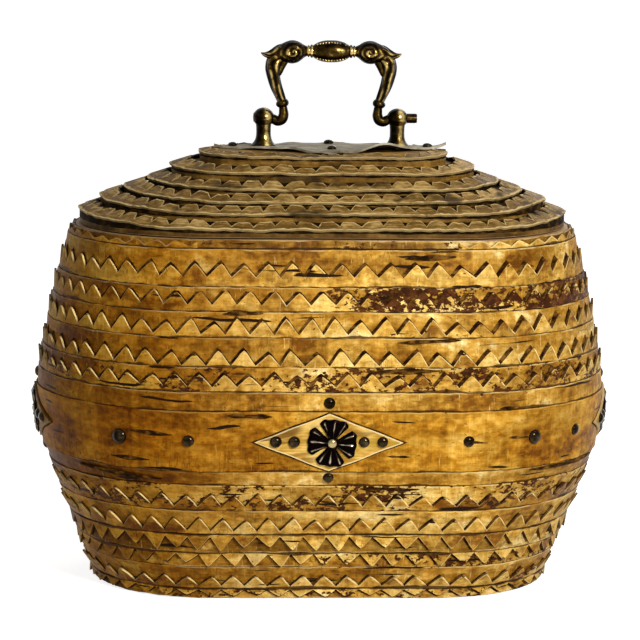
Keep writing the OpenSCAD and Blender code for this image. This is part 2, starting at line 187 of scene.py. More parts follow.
# lays one colour over another as far as a mask and its share let it
def coat(tree, under, over, mask=1.0, share=1.0, how="MIX"):
    made = addNode(tree, "ShaderNodeMix", data_type="RGBA", blend_type=how)
    amount = mask if share == 1.0 else mul(tree, mask, share)
    for socket, value in ((made.inputs["Factor"], amount), (made.inputs[6], under), (made.inputs[7], over)):
        if isinstance(value, bpy.types.NodeSocket):
            tree.links.new(value, socket)
        else:
            socket.default_value = (*value, 1.0) if isinstance(value, tuple) else value
    return made.outputs[2]


def finishShader(tree, shader, colour, rough, specular=0.5, metal=0.0):
    tree.links.new(colour, shader.inputs["Base Color"])
    if isinstance(rough, bpy.types.NodeSocket):
        tree.links.new(rough, shader.inputs["Roughness"])
    else:
        shader.inputs["Roughness"].default_value = rough
    shader.inputs["Specular IOR Level"].default_value = specular
    shader.inputs["Metallic"].default_value = metal


def bump(tree, shader, height, strength, distance):
    made = addNode(tree, "ShaderNodeBump", {"Height": height, "Strength": strength, "Distance": distance})
    tree.links.new(made.outputs["Normal"], shader.inputs["Normal"])


amber = {
    "brown": (0.210, 0.080, 0.008),
    "gold": (0.500, 0.268, 0.038),
    "straw": (0.720, 0.455, 0.110),
    "pale": (0.870, 0.650, 0.265),
    "inner": (0.034, 0.009, 0.002),   # red inner bark
    "torn": (0.095, 0.030, 0.006),
    "dash": (0.014, 0.005, 0.001),
    "cut": (0.045, 0.016, 0.003),
    "aged": (0.58, 0.44, 0.16),       # painted shade of the left end
    "rightShade": (0.70, 0.68, 0.64),     # painted shade of the right end
    "dashes": 0.70,                   # the higher, the fewer dark dashes
}
smoothAmber = dict(amber, brown=(0.160, 0.056, 0.004), gold=(0.370, 0.172, 0.016), straw=(0.560, 0.310, 0.050),
                   dashes=0.685)
bandAmber = dict(amber, brown=(0.150, 0.046, 0.002), gold=(0.370, 0.156, 0.008), straw=(0.560, 0.285, 0.030),
                 pale=(0.720, 0.430, 0.090), dashes=0.69)
wornAmber = dict(smoothAmber, brown=(0.110, 0.040, 0.003), gold=(0.250, 0.118, 0.012), straw=(0.380, 0.210, 0.036))


# birch bark that follows the strip: its X runs along, its Y across
def barkMaterial(name, look):
    material, tree, shader = newMaterial(name)
    place = readMark(tree, "barkPlace", "Vector")
    toEdge, tone, flaky, cutFace, aged, rightShade, litFlank = (
        readMark(tree, mark) for mark in ("toEdge", "tone", "flaky", "cutFace", "aged", "rightShade", "litFlank"))
    cloud = pattern(tree, place, (16, 50, 1), 3.0, 0.6)
    mottle = pattern(tree, place, (190, 260, 1), 3.0, 0.6, 8.0)
    fibre = pattern(tree, place, (70, 1500, 1), 2.0, 0.6)
    streak = pattern(tree, place, (260, 22, 1), 2.0, 0.5, 3.0)
    crackle = pattern(tree, place, (900, 75, 1), 2.0, 0.6, 33.0)
    peeled = patches(tree, place, (48, 110, 1), 0.49, 0.515, 4.0, 0.62, 31.0)
    level = weigh(tree, (cloud, 0.58), (mottle, 0.42), (sub(tree, tone, 0.5), 0.12))
    colour = ramp(tree, level, (0.37, look["brown"]), (0.48, look["gold"]), (0.57, look["straw"]),
                  (0.68, look["pale"]))
    scuff = patches(tree, place, (520, 60, 1), 0.63, 0.71, 3.0, 0.7, 14.0)
    colour = coat(tree, colour, look["pale"], scuff, 0.5)
    speck = patches(tree, place, (420, 520, 1), 0.64, 0.70, seed=21.0)
    colour = coat(tree, colour, look["brown"], speck, 0.6)
    shade = add(tree, weigh(tree, (fibre, 0.50), (streak, 0.50), (crackle, 0.55), (peeled, 0.20)), 0.11)
    colour = coat(tree, colour, joinXyz(tree, shade, shade, shade), how="MULTIPLY")
    # fine wrinkles where the bark was bent
    fold = pattern(tree, place, (150, 34, 1), 3.0, 0.6, 17.0)
    wrinkle = step(tree, calc(tree, "ABSOLUTE", sub(tree, fold, 0.5)), 0.022, 0.002)
    wrinkle = mul(tree, wrinkle, patches(tree, place, (14, 40, 1), 0.52, 0.66, seed=2.0))
    colour = coat(tree, colour, look["brown"], wrinkle, 0.35)
    # painted shade: the left end much darker and browner, the right end a little darker and greyer
    colour = coat(tree, colour, look["aged"], aged, how="MULTIPLY")
    colour = coat(tree, colour, look["rightShade"], rightShade, how="MULTIPLY")
    # the free edge is painted pale, as wear and as painted highlight, strongest on each tooth's lit right flank and
    # weaker at the shaded left end; the other edge is darkened with dirt and painted shade
    ragged = mul(tree, sub(tree, mottle, 0.5), 2.4 * mm)
    worn = step(tree, add(tree, toEdge, ragged), 0.9 * mm, 0.2 * mm)
    worn = mul(tree, worn, patches(tree, place, (60, 60, 1), 0.38, 0.60, seed=41.0))
    worn = mul(tree, worn, add(tree, 0.45, mul(tree, litFlank, 0.55)))
    worn = mul(tree, worn, sub(tree, 1.0, mul(tree, aged, 0.5)))
    colour = coat(tree, colour, look["pale"], worn)
    darkReach = mul(tree, sub(tree, pattern(tree, place, (30, 1, 1), 2.0, 0.6, 5.5), 0.52), 7.0 * mm)
    height = sub(tree, splitXyz(tree, place)[1], calc(tree, "MAXIMUM", darkReach, 0.0))
    edgeDirtAndShade = step(tree, add(tree, height, mul(tree, ragged, 0.4)), 0.75 * mm, 0.15 * mm)
    colour = coat(tree, colour, look["cut"], edgeDirtAndShade, 0.9)
    # places where the outer skin has flaked off and the red inner bark shows
    region = pattern(tree, place, (24, 60, 1), 2.0, 0.5, 11.0)
    flake = pattern(tree, place, (230, 330, 1), 4.0, 0.65, 5.0)
    flakeMask = step(tree, weigh(tree, (flake, 0.6), (region, 0.4), (flaky, 0.30)), 0.675, 0.69)
    torn = coat(tree, look["inner"], look["torn"], step(tree, mottle, 0.40, 0.62))
    colour = coat(tree, colour, torn, flakeMask)
    # short dark dashes that run along the bark
    dashMask = patches(tree, place, (26, 300, 1), look["dashes"], look["dashes"] + 0.03, 1.0, 0.4, 7.0)
    colour = coat(tree, colour, look["dash"], dashMask)
    # cut faces are dark, with a painted highlight on each tooth's lit right flank
    colour = coat(tree, colour, coat(tree, look["cut"], look["pale"], litFlank, 0.9), cutFace, 0.85)
    finishShader(tree, shader, colour, add(tree, 0.34, mul(tree, cloud, 0.26)), 0.04)
    depth = weigh(tree, (crackle, 0.45), (mottle, 0.60), (peeled, 0.30), (flakeMask, -0.9), (dashMask, -0.8),
                  (wrinkle, -0.6))
    bump(tree, shader, depth, 0.75, 0.6 * mm)
    return material


toothBark = barkMaterial("toothBark", amber)
smoothBark = barkMaterial("smoothBark", smoothAmber)
bandBark = barkMaterial("bandBark", bandAmber)
wornBark = barkMaterial("wornBark", wornAmber)

wood = {"dark": (0.230, 0.120, 0.045), "light": (0.420, 0.255, 0.110)}
weathered = {
    "dark": (0.034, 0.016, 0.003),
    "mid": (0.146, 0.077, 0.014),
    "pale": (0.500, 0.330, 0.115),
    "lip": (0.640, 0.460, 0.190),
    "stain": (0.008, 0.004, 0.001),
}
riser = dict(weathered, mid=(0.150, 0.073, 0.011), pale=(0.340, 0.188, 0.038))
lidEdge = dict(weathered, mid=(0.095, 0.047, 0.009), pale=(0.220, 0.122, 0.030))
plateGrey = {"dark": (0.070, 0.052, 0.024), "mid": (0.240, 0.205, 0.135), "pale": (0.500, 0.460, 0.360),
             "stain": (0.024, 0.015, 0.006)}


# grey, rain-marked bark: on strips it follows the strip, elsewhere the object
def weatheredMaterial(name, look, onStrip=True, fine=1100, under=None):
    material, tree, shader = newMaterial(name)
    if onStrip:
        place = readMark(tree, "barkPlace", "Vector")
        tone, toEdge, cutFace = (readMark(tree, mark) for mark in ("tone", "toEdge", "cutFace"))
        grain = pattern(tree, place, (45, 1300, 1), 3.0, 0.6)
    else:
        place = objectPlace(tree)
        tone = pattern(tree, place, (30, 30, 30), 1.0)
        grain = pattern(tree, place, (45, 45, fine), 3.0, 0.6)
    cloud = pattern(tree, place, (22, 60, 22), 4.0, 0.65)
    mottle = pattern(tree, place, (170, 260, 170), 3.0, 0.65, 6.0)
    level = weigh(tree, (cloud, 0.45), (grain, 0.25), (mottle, 0.30), (sub(tree, tone, 0.5), 0.05))
    colour = ramp(tree, level, (0.38, look["dark"]), (0.50, look["mid"]), (0.64, look["pale"]))
    if onStrip:
        # painted highlight: the lip and the tooth edges are painted pale, as if catching the light
        ragged = mul(tree, sub(tree, mottle, 0.5), 5.0 * mm)
        lip = step(tree, add(tree, splitXyz(tree, place)[1], ragged), 1.3 * mm, 0.4 * mm)
        colour = coat(tree, colour, look["lip"], lip, 0.8)
        worn = step(tree, add(tree, toEdge, ragged), 0.9 * mm, 0.2 * mm)
        colour = coat(tree, colour, look["lip"], worn, 0.65)
        colour = coat(tree, colour, look["dark"], cutFace, 0.6)
    stain = patches(tree, place, (26, 40, 26), 0.58, 0.68, 3.0, seed=9.0)
    colour = coat(tree, colour, look["stain"], stain, 0.75)
    # bare wood on the underside
    if under is not None:
        bare = step(tree, splitXyz(tree, place)[2], under + 0.3 * mm, under + 0.1 * mm)
        board = pattern(tree, place, (9, 190, 9), 4.0, 0.6, 2.0)
        colour = coat(tree, colour, ramp(tree, board, (0.35, wood["dark"]), (0.65, wood["light"])), bare)
    finishShader(tree, shader, colour, add(tree, 0.42, mul(tree, cloud, 0.25)), 0.05)
    bump(tree, shader, level, 0.9, 0.7 * mm)
    return material


lidBark = weatheredMaterial("lidBark", weathered)
riserBark = weatheredMaterial("riserBark", riser, False)
boardBark = weatheredMaterial("boardBark", lidEdge, False, under=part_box("lid_board")[0].z)
plateSkin = weatheredMaterial("plateSkin", plateGrey, False, 45)


def woodMaterial(name, look):
    material, tree, shader = newMaterial(name)
    place = objectPlace(tree)
    grain = pattern(tree, place, (16, 16, 420), 4.0, 0.6)
    broad = pattern(tree, place, (6, 6, 40), 2.0, 0.5, 4.0)
    level = weigh(tree, (grain, 0.55), (broad, 0.45))
    finishShader(tree, shader, ramp(tree, level, (0.35, look["dark"]), (0.65, look["light"])), 0.62)
    bump(tree, shader, grain, 0.35, 0.3 * mm)
    return material


innerWood = woodMaterial("innerWood", wood)

oldBrass = {"hollow": (0.003, 0.002, 0.001), "body": (0.040, 0.022, 0.004), "worn": (0.600, 0.430, 0.145)}
paleBrass = dict(oldBrass, body=(0.420, 0.300, 0.110))
greyBrass = dict(oldBrass, body=(0.150, 0.115, 0.052), worn=(0.340, 0.275, 0.130))
blackIron = {"hollow": (0.002, 0.001, 0.001), "body": (0.018, 0.012, 0.006), "worn": (0.420, 0.350, 0.240)}
brownIron = {"hollow": (0.005, 0.003, 0.001), "body": (0.016, 0.010, 0.005), "worn": (0.048, 0.035, 0.018)}


# old metal, dark in the hollows: its wear and painted highlight are read from the mesh, or its wear comes in patches
def metalMaterial(name, look, readsWear, rough=0.34):
    material, tree, shader = newMaterial(name)
    place = objectPlace(tree)
    patchy = pattern(tree, place, (240, 240, 240), 3.0, 0.6)
    fine = pattern(tree, place, (900, 900, 900), 2.0, 0.6, 3.0)
    wear = readMark(tree, "wear") if readsWear else mul(tree, patchy, 0.9)
    level = add(tree, wear, mul(tree, sub(tree, patchy, 0.5), 0.85))
    colour = ramp(tree, level, (0.16, look["hollow"]), (0.44, look["body"]), (0.80, look["worn"]))
    finishShader(tree, shader, colour, sub(tree, rough, mul(tree, level, 0.18)), metal=1.0)
    bump(tree, shader, fine, 0.25, 0.12 * mm)
    return material


wornBrass = metalMaterial("wornBrass", oldBrass, True)
plainBrass = metalMaterial("plainBrass", oldBrass, False)
beadBrass = metalMaterial("beadBrass", paleBrass, False)
bossBrass = metalMaterial("bossBrass", greyBrass, True)
rosetteIron = metalMaterial("rosetteIron", blackIron, True, 0.30)
nailIron = metalMaterial("nailIron", brownIron, False, 0.19)


# a dark finish for creases, gaps and bark dashes: dirt, and painted shade in the creases and gaps
def shadeAndDirtMaterial(name, dark, mid, pale):
    material, tree, shader = newMaterial(name)
    level = pattern(tree, objectPlace(tree), (160, 160, 300), 3.0, 0.6)
    finishShader(tree, shader, ramp(tree, level, (0.36, dark), (0.50, mid), (0.66, pale)), 0.7, 0.02)
    bump(tree, shader, level, 0.5, 0.3 * mm)
    return material


creaseDirtAndShade = shadeAndDirtMaterial("creaseDirtAndShade", (0.009, 0.003, 0.001), (0.038, 0.014, 0.002), (0.170, 0.075, 0.012))
lidShadeAndDirt = shadeAndDirtMaterial("lidShadeAndDirt", (0.004, 0.002, 0.001), (0.010, 0.005, 0.001), (0.060, 0.028, 0.005))

paleGold = {
    "dark": (0.330, 0.160, 0.018),
    "mid": (0.560, 0.320, 0.055),
    "light": (0.740, 0.490, 0.135),
    "edge": (0.900, 0.720, 0.380),
    "stain": (0.120, 0.044, 0.006),
    "olive": (0.370, 0.215, 0.020),
}


# a diamond of pale bark whose edge is painted bright, as wear and as painted highlight
def plaqueMaterial(name, shade=None):
    material, tree, shader = newMaterial(name)
    place = objectPlace(tree)
    cloud = pattern(tree, place, (60, 60, 90), 3.0, 0.6)
    grain = pattern(tree, place, (60, 60, 1300), 2.0, 0.6, 4.0)
    level = weigh(tree, (cloud, 0.65), (grain, 0.35))
    colour = ramp(tree, level, (0.40, paleGold["dark"]), (0.50, paleGold["mid"]), (0.60, paleGold["light"]))
    stain = patches(tree, place, (45, 45, 210), 0.57, 0.68, seed=12.0)
    colour = coat(tree, colour, paleGold["stain"], stain, 0.6)
    olive = patches(tree, place, (38, 38, 70), 0.48, 0.62, 2.0, 0.5, 31.0)
    colour = coat(tree, colour, paleGold["olive"], olive, 0.7)
    # the front one is darker and browner along its upper left edge
    darkEdge = step(tree, mul(tree, readMark(tree, "darkEdge"), add(tree, cloud, 0.5)), 0.25, 0.75)
    colour = coat(tree, colour, paleGold["stain"], darkEdge, 0.8)
    shaky = add(tree, readMark(tree, "rim"), mul(tree, sub(tree, cloud, 0.5), 1.6))
    colour = coat(tree, colour, paleGold["edge"], step(tree, shaky, 0.8, 0.3), 0.65)
    if shade:
        colour = coat(tree, colour, shade, how="MULTIPLY")
    finishShader(tree, shader, colour, 0.48, 0.05)
    bump(tree, shader, level, 0.6, 0.35 * mm)
    return material


plaqueBark = plaqueMaterial("plaqueBark")
# painted shade: the left plaque much darker and browner, the right one a little darker and greyer
endPlaqueBark = {"left": plaqueMaterial("leftPlaqueBark", (0.36, 0.26, 0.12)),
                 "right": plaqueMaterial("rightPlaqueBark", (0.60, 0.54, 0.44))}
print("materials made")

lowerStrips = ["lower_strip_%d" % k for k in range(1, 7)]
upperStrips = ["upper_strip_%d" % k for k in range(1, 6)]
teethUp = {"lower_strip_1": False, "lower_strip_2": True, "lower_strip_3": False, "lower_strip_4": False,
           "lower_strip_5": True, "lower_strip_6": True}

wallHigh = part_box("wall")[1]
spine = wallHigh.x - wallHigh.y
mouthZ = wallHigh.z
bandLow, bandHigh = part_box("wide_band")


# the body's outline as heights and radii, read from the boxes of its strips
def outlinePoints():
    points = []
    for name in lowerStrips + ["under_band_strip"]:
        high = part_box(name)[1]
        points.append((high.z, high.y))
    for name in ["over_band_strip"] + upperStrips + ["worn_strip"]:
        low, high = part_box(name)
        points.append((low.z, high.y))
    points.sort()
    (zA, rA), (zB, rB) = points[0], points[1]
    points.insert(0, (0.0, rA - (rB - rA) / (zB - zA) * zA))
    (zA, rA), (zB, rB) = points[-2], points[-1]
    points.append((mouthZ, rB + (rB - rA) / (zB - zA) * (mouthZ - zB)))
    return points


outline = outlinePoints()


def skinR(z):
    for (zA, rA), (zB, rB) in zip(outline, outline[1:]):
        if z <= zB:
            return rA + (rB - rA) * (z - zA) / (zB - zA)
    return outline[-1][1]


# a node tree with a geometry, named sizes and a material going in, and a geometry coming out
def newTree(name, sizes):
    tree = bpy.data.node_groups.new(name, "GeometryNodeTree")
    face = tree.interface
    face.new_socket("Geometry", in_out="INPUT", socket_type="NodeSocketGeometry")
    for label, value in sizes.items():
        kind = "NodeSocketInt" if isinstance(value, int) else "NodeSocketFloat"
        face.new_socket(label, in_out="INPUT", socket_type=kind).default_value = value
    face.new_socket("Material", in_out="INPUT", socket_type="NodeSocketMaterial")
    face.new_socket("Geometry", in_out="OUTPUT", socket_type="NodeSocketGeometry")
    return tree, addNode(tree, "NodeGroupInput").outputs


def endTree(tree, geometry, material):
    real = addNode(tree, "GeometryNodeRealizeInstances", {0: geometry}).outputs[0]
    dressed = addNode(tree, "GeometryNodeSetMaterial", {"Geometry": real, "Material": material}).outputs[0]
    addNode(tree, "NodeGroupOutput", {0: dressed})
    return tree


# what a strip is like where a call says nothing else; whole numbers are counts
stripSizes = {
    "Spine": 0.06, "Straight Radius": 0.1, "Straight Height": 0.0, "Tooth Radius": 0.1, "Tooth Height": 0.01,
    "Thickness": 0.001, "Teeth": 70, "Columns": 560, "Bite": 0.0, "Worn Tips": 0.0, "Tip Shift": 0.0, "Tip Lift": 0.0,
    "Edge Wander": 0.0, "Sway": 0.0, "Lost Half Width": 0.0, "Flaked": 0.0, "Flaked From": -1.0, "End Reach": 0.0,
    "Blunt": 1.08, "Slide": 0.0, "Lit Flank": 0.0, "Straight Rise": 0.0, "Tooth Rise": 0.0, "Seed": 1,
}
sheetMesh = {"rows": 7, "cornerPoints": 64}
# along the box: how gradually flaking sets in, and where the painted shade of each end begins and is full
endShade = {"blur": 30 * mm, "left": (10 * mm, -100 * mm), "right": (50 * mm, 125 * mm)}


# one node tree lays every strip of bark on the body and the lid, toothed or plain
def makeStripTree():
    tree, given = newTree("barkStrip", stripSizes)

    # the oval that the strip is laid round
    wide = mul(tree, add(tree, given["Spine"], given["Straight Radius"]), 2.0)
    deep = mul(tree, given["Straight Radius"], 2.0)
    loop = addNode(tree, "GeometryNodeCurvePrimitiveQuadrilateral", {"Width": wide, "Height": deep})
    oval = addNode(tree, "GeometryNodeFilletCurve", {
        "Curve": loop.outputs[0], "Radius": mul(tree, given["Straight Radius"], 0.9999),
        "Count": sheetMesh["cornerPoints"], "Limit Radius": True}, mode="POLY").outputs[0]

    # a flat sheet whose X runs round the oval and whose Y runs across the strip
    columns = add(tree, given["Columns"], 1.0)
    sheet = addNode(tree, "GeometryNodeMeshGrid", {
        "Size X": 1.0, "Size Y": 1.0, "Vertices X": columns, "Vertices Y": sheetMesh["rows"]}).outputs["Mesh"]
    flat = splitXyz(tree, addNode(tree, "GeometryNodeInputPosition").outputs[0])
    along = add(tree, flat[0], 0.5)
    turn = calc(tree, "COSINE", mul(tree, add(tree, flat[1], 0.5), math.pi))
    across = sub(tree, 0.5, mul(tree, 0.5, turn))

    # saw teeth, each with its own wear and lean; a notch belongs to the tooth after it
    count = mul(tree, along, given["Teeth"])
    number = calc(tree, "FLOOR", add(tree, count, 0.0005))
    phase = mul(tree, sub(tree, count, number), 2.0)
    peak = sub(tree, 1.0, calc(tree, "ABSOLUTE", sub(tree, phase, 1.0)))
    peak = mul(tree, peak, given["Blunt"], clamp=True)

    def chance(extra):
        return addNode(tree, "FunctionNodeRandomValue", {
            "ID": number, "Seed": add(tree, given["Seed"], float(extra))}, data_type="FLOAT").outputs[1]

    worn = mul(tree, given["Worn Tips"], calc(tree, "POWER", chance(0), 2.5))
    height = mul(tree, peak, sub(tree, 1.0, worn))
    reach = sub(tree, 1.0, mul(tree, given["Bite"], sub(tree, 1.0, height)))
    over = mul(tree, across, reach)
    lean = mul(tree, sub(tree, chance(31), 0.5), given["Tip Shift"])
    lean = mul(tree, lean, mul(tree, peak, across))
    long = addNode(tree, "GeometryNodeCurveLength", {0: oval}).outputs[0]
    factor = add(tree, along, calc(tree, "DIVIDE", lean, given["Teeth"]))
    factor = calc(tree, "FRACT", add(tree, factor, add(tree, 1.0, calc(tree, "DIVIDE", given["Slide"], long))))
    spot = addNode(tree, "GeometryNodeSampleCurve", {"Curves": oval, "Factor": factor},
                   mode="FACTOR").outputs["Position"]

    def away(point):
        x = splitXyz(tree, point)[0]
        x = calc(tree, "MAXIMUM", x, mul(tree, given["Spine"], -1.0))
        middle = joinXyz(tree, calc(tree, "MINIMUM", x, given["Spine"]), 0.0, 0.0)
        return vec(tree, "NORMALIZE", vec(tree, "MULTIPLY", vec(tree, "SUBTRACT", point, middle), (1.0, 1.0, 0.0)))

    def scaled(vector, amount):
        return addNode(tree, "ShaderNodeVectorMath", {0: vector, "Scale": amount}, operation="SCALE").outputs[0]

    # uneven hand work: the sheet sways in and out, its edges wander up and down
    def roll(scale, extra):
        moved = vec(tree, "ADD", spot, joinXyz(tree, 0.0, 0.0, mul(tree, given["Seed"], extra)))
        noise = addNode(tree, "ShaderNodeTexNoise", {"Vector": moved, "Scale": scale, "Detail": 1.0}).outputs["Fac"]
        return sub(tree, noise, 0.5)

    sway = mul(tree, roll(28.0, 0.0), mul(tree, given["Sway"], 2.0))
    wander = add(tree, roll(45.0, 0.31), mul(tree, roll(190.0, 0.17), 0.7))
    wander = mul(tree, wander, mul(tree, given["Edge Wander"], 3.0))
    lift = mul(tree, given["Tip Lift"], mul(tree, peak, across))
    lift = mul(tree, lift, chance(57))

    def mixed(a, b, amount):
        return add(tree, a, mul(tree, sub(tree, b, a), amount))

    radius = add(tree, mixed(given["Straight Radius"], given["Tooth Radius"], over), add(tree, sway, lift))
    level = add(tree, mixed(given["Straight Height"], given["Tooth Height"], over), wander)
    # at the two ends of the oval the strip may reach further in, and lift
    facing = away(spot)
    atEnd = calc(tree, "POWER", calc(tree, "ABSOLUTE", splitXyz(tree, facing)[0]), 2.0)
    level = add(tree, level, mul(tree, atEnd, mixed(given["Straight Rise"], given["Tooth Rise"], over)))
    reachIn = add(tree, 1.0, mul(tree, atEnd, given["End Reach"]))
    shift = mul(tree, sub(tree, radius, given["Straight Radius"]), reachIn)
    place = vec(tree, "ADD", vec(tree, "MULTIPLY", spot, (1.0, 1.0, 0.0)), scaled(facing, shift))
    place = vec(tree, "ADD", place, joinXyz(tree, 0.0, 0.0, level))

    # where the bark's own pattern lies, kept before the sheet is bent
    grow = sub(tree, given["Tooth Radius"], given["Straight Radius"])
    climb = sub(tree, given["Tooth Height"], given["Straight Height"])
    width = calc(tree, "SQRT", add(tree, calc(tree, "POWER", grow, 2.0), calc(tree, "POWER", climb, 2.0)))
    barkPlace = joinXyz(tree, mul(tree, along, long), mul(tree, over, width), mul(tree, given["Seed"], 3.71))
    aside = splitXyz(tree, spot)[0]
    flaky = addNode(tree, "ShaderNodeMapRange", {
        "Value": aside, "From Min": sub(tree, given["Flaked From"], endShade["blur"]),
        "From Max": add(tree, given["Flaked From"], endShade["blur"])}).outputs["Result"]
    flaky = mul(tree, flaky, given["Flaked"])
    # painted shade of the left and right ends
    aged = step(tree, aside, *endShade["left"])
    rightShade = step(tree, aside, *endShade["right"])
    # painted highlight: the right flank of each tooth is marked as lit
    litFlank = mul(tree, calc(tree, "SINE", mul(tree, phase, math.pi)), -1.5)
    litFlank = mul(tree, litFlank, given["Lit Flank"], clamp=True)
    toEdge = mul(tree, sub(tree, reach, over), width)
    for name, kind, value in (("barkPlace", "FLOAT_VECTOR", barkPlace), ("toEdge", "FLOAT", toEdge),
                              ("tone", "FLOAT", chance(83)), ("flaky", "FLOAT", flaky), ("aged", "FLOAT", aged),
                              ("rightShade", "FLOAT", rightShade), ("litFlank", "FLOAT", litFlank)):
        store = addNode(tree, "GeometryNodeStoreNamedAttribute", {"Geometry": sheet, "Name": name},
                        data_type=kind, domain="POINT")
        tree.links.new(value, store.inputs["Value"])
        sheet = store.outputs[0]
    bent = addNode(tree, "GeometryNodeSetPosition", {"Geometry": sheet, "Position": place}).outputs[0]

    # a length that has broken off at the front
    now = splitXyz(tree, addNode(tree, "GeometryNodeInputPosition").outputs[0])
    ragged = mul(tree, addNode(tree, "ShaderNodeTexNoise", {"Scale": 160.0}).outputs["Fac"], 0.02)
    inGap = calc(tree, "LESS_THAN", add(tree, calc(tree, "ABSOLUTE", now[0]), ragged), given["Lost Half Width"])
    inGap = mul(tree, inGap, calc(tree, "LESS_THAN", now[1], 0.0))
    bent = addNode(tree, "GeometryNodeDeleteGeometry", {"Geometry": bent, "Selection": inGap}, domain="FACE").outputs[0]
    bent = addNode(tree, "GeometryNodeMergeByDistance", {"Geometry": bent, "Distance": weld}).outputs[0]

    # thickness, square to the sheet, with its cut faces marked
    side = calc(tree, "DIVIDE", calc(tree, "SIGN", climb), width)
    inward = scaled(away(addNode(tree, "GeometryNodeInputPosition").outputs[0]),
                    mul(tree, mul(tree, climb, side), -1.0))
    inward = vec(tree, "ADD", inward, joinXyz(tree, 0.0, 0.0, mul(tree, grow, side)))
    back = addNode(tree, "GeometryNodeExtrudeMesh", {
        "Mesh": bent, "Offset": inward, "Offset Scale": given["Thickness"], "Individual": False}, mode="FACES")
    cut = addNode(tree, "GeometryNodeStoreNamedAttribute", {"Geometry": back.outputs["Mesh"], "Name": "cutFace"},
                  data_type="FLOAT", domain="FACE")
    tree.links.new(back.outputs["Side"], cut.inputs["Value"])
    both = addNode(tree, "GeometryNodeJoinGeometry")
    tree.links.new(bent, both.inputs[0])
    tree.links.new(cut.outputs[0], both.inputs[0])
    whole = addNode(tree, "GeometryNodeMergeByDistance", {"Geometry": both.outputs[0], "Distance": weld}).outputs[0]
    return endTree(tree, whole, given["Material"])


# runs a node tree on a mesh and gives back the plain mesh that it makes
def runTree(name, tree, start, sizes):
    holder = putIn(name + "Maker", start)
    maker = holder.modifiers.new("maker", "NODES")
    maker.node_group = tree
    sockets = {item.name: item.identifier for item in tree.interface.items_tree if item.in_out == "INPUT"}
    for key, value in sizes.items():
        maker[sockets[key]] = value
    graph = bpy.context.evaluated_depsgraph_get()
    mesh = bpy.data.meshes.new_from_object(holder.evaluated_get(graph), preserve_all_data_layers=True,
                                           depsgraph=graph)
    bpy.data.objects.remove(holder)
    mesh.name = name
    return mesh


stripTree = makeStripTree()

softEdge = {"wide": 0.22 * mm, "from": 50}  # bevel along the edges that turn more than so many degrees


def layStrip(name, body, slot, nodes, sizes, soft=True):
    mesh = runTree(name, stripTree, bpy.data.meshes.new(name + "Start"), sizes)
    work = bmesh.new()
    work.from_mesh(mesh)
    turnOut(work)
    work.to_mesh(mesh)
    work.free()
    piece = addMesh(name, mesh, body, slot, *nodes)
    if soft:
        bevel = piece.modifiers.new("softEdge", "BEVEL")
        bevel.width = softEdge["wide"]
        bevel.segments = 1
        bevel.limit_method = "ANGLE"
        bevel.angle_limit = math.radians(softEdge["from"])


strips = {
    "pitch": 12.8 * mm,          # tooth to tooth below the band
    "upperPitch": 13.4 * mm,     # and above it
    "smoothLow": -1.5 * mm,      # face of a plain strip under the teeth
    "smoothHigh": 0.55 * mm,     # and at its free edge
    "toothLow": 0.1 * mm,        # face of a toothed strip at its straight edge
    "toothHigh": 1.45 * mm,      # and at its tips
    "shadeDirtUp": 1.5 * mm,         # how far the dark crease, dirt and painted shade, shows round the teeth
    # painted shadow: the crease sits further left, where the teeth's shadow falls
    "shadeAside": -0.7 * mm,
    "lowShadeDirt": 0.6,             # share of that dark crease below the band
    "creaseLow": -0.5 * mm,      # face of that dark crease at its straight edge
    "creaseHigh": 0.32 * mm,     # and at its tips
    "wornFace": 0.5 * mm,        # the worn course: the face of its tips
    "wornSunk": -1.3 * mm,       # and of the plain strip behind it
    "wornFlaked": (0.2, -0.2),
    "foot": 0.7 * mm,            # lower border of the first course
    "seam": 0.15 * mm,
    "columnsPerTooth": 8,
    "seed": 3,                   # of the first course
}
# inputs of the strip tree that strips of one kind share
toothedStrip = {"Spine": spine, "Thickness": 1.25 * mm, "Worn Tips": 0.30, "Tip Shift": 0.20, "Tip Lift": 1.2 * mm,
                "Edge Wander": 0.4 * mm, "Sway": 0.4 * mm, "Material": toothBark}
creaseStrip = {"Thickness": 0.35 * mm, "Tip Lift": 0.0, "Material": creaseDirtAndShade}
plainStrip = {"Spine": spine, "Thickness": 1.2 * mm, "Teeth": 40, "Columns": 420, "Edge Wander": 0.35 * mm,
              "Sway": 0.4 * mm}
wornStrip = dict(toothedStrip, **{"Bite": 0.72, "Worn Tips": 0.5, "Tip Shift": 0.3, "Tip Lift": 0.3 * mm,
                                  "Edge Wander": 0.3 * mm, "Lost Half Width": 82 * mm, "Seed": 61})
# plain strips at the band: bark, seed, thickness and how far each edge's face stands out
bandStrips = {"plainUnderBand": ("under_band_strip", smoothBark, 71, 1.3 * mm, -0.2 * mm, 0.1 * mm),
              "plainOverBand": ("over_band_strip", smoothBark, 72, 1.3 * mm, 0.0, 0.5 * mm),
              "plainBand": ("wide_band", bandBark, 73, 1.8 * mm, 0.8 * mm, 0.8 * mm)}
# where the tips and the notches of each course lie, as shares of its height
teeth = {"upper_strip_5": (0.64, 0.26), "upper_strip_4": (0.88, 0.27), "upper_strip_3": (0.76, 0.12),
         "upper_strip_2": (0.59, 0.05), "upper_strip_1": (0.77, 0.21), "lower_strip_6": (0.67, 0.17),
         "lower_strip_5": (0.70, 0.12), "lower_strip_4": (0.90, 0.12), "lower_strip_3": (0.94, 0.06),
         "lower_strip_2": (0.58, 0.09), "lower_strip_1": (0.82, 0.09)}
# how much of each course has flaked, and from where along the box
flaked = {"upper_strip_4": (0.72, 0.0), "upper_strip_1": (0.45, -0.2), "lower_strip_6": (0.50, -0.2),
          "lower_strip_1": (0.42, -0.2), "upper_strip_5": (0.22, 0.08), "lower_strip_2": (0.25, -0.02),
          "lower_strip_3": (0.44, -0.03), "upper_strip_3": (0.20, 0.02)}
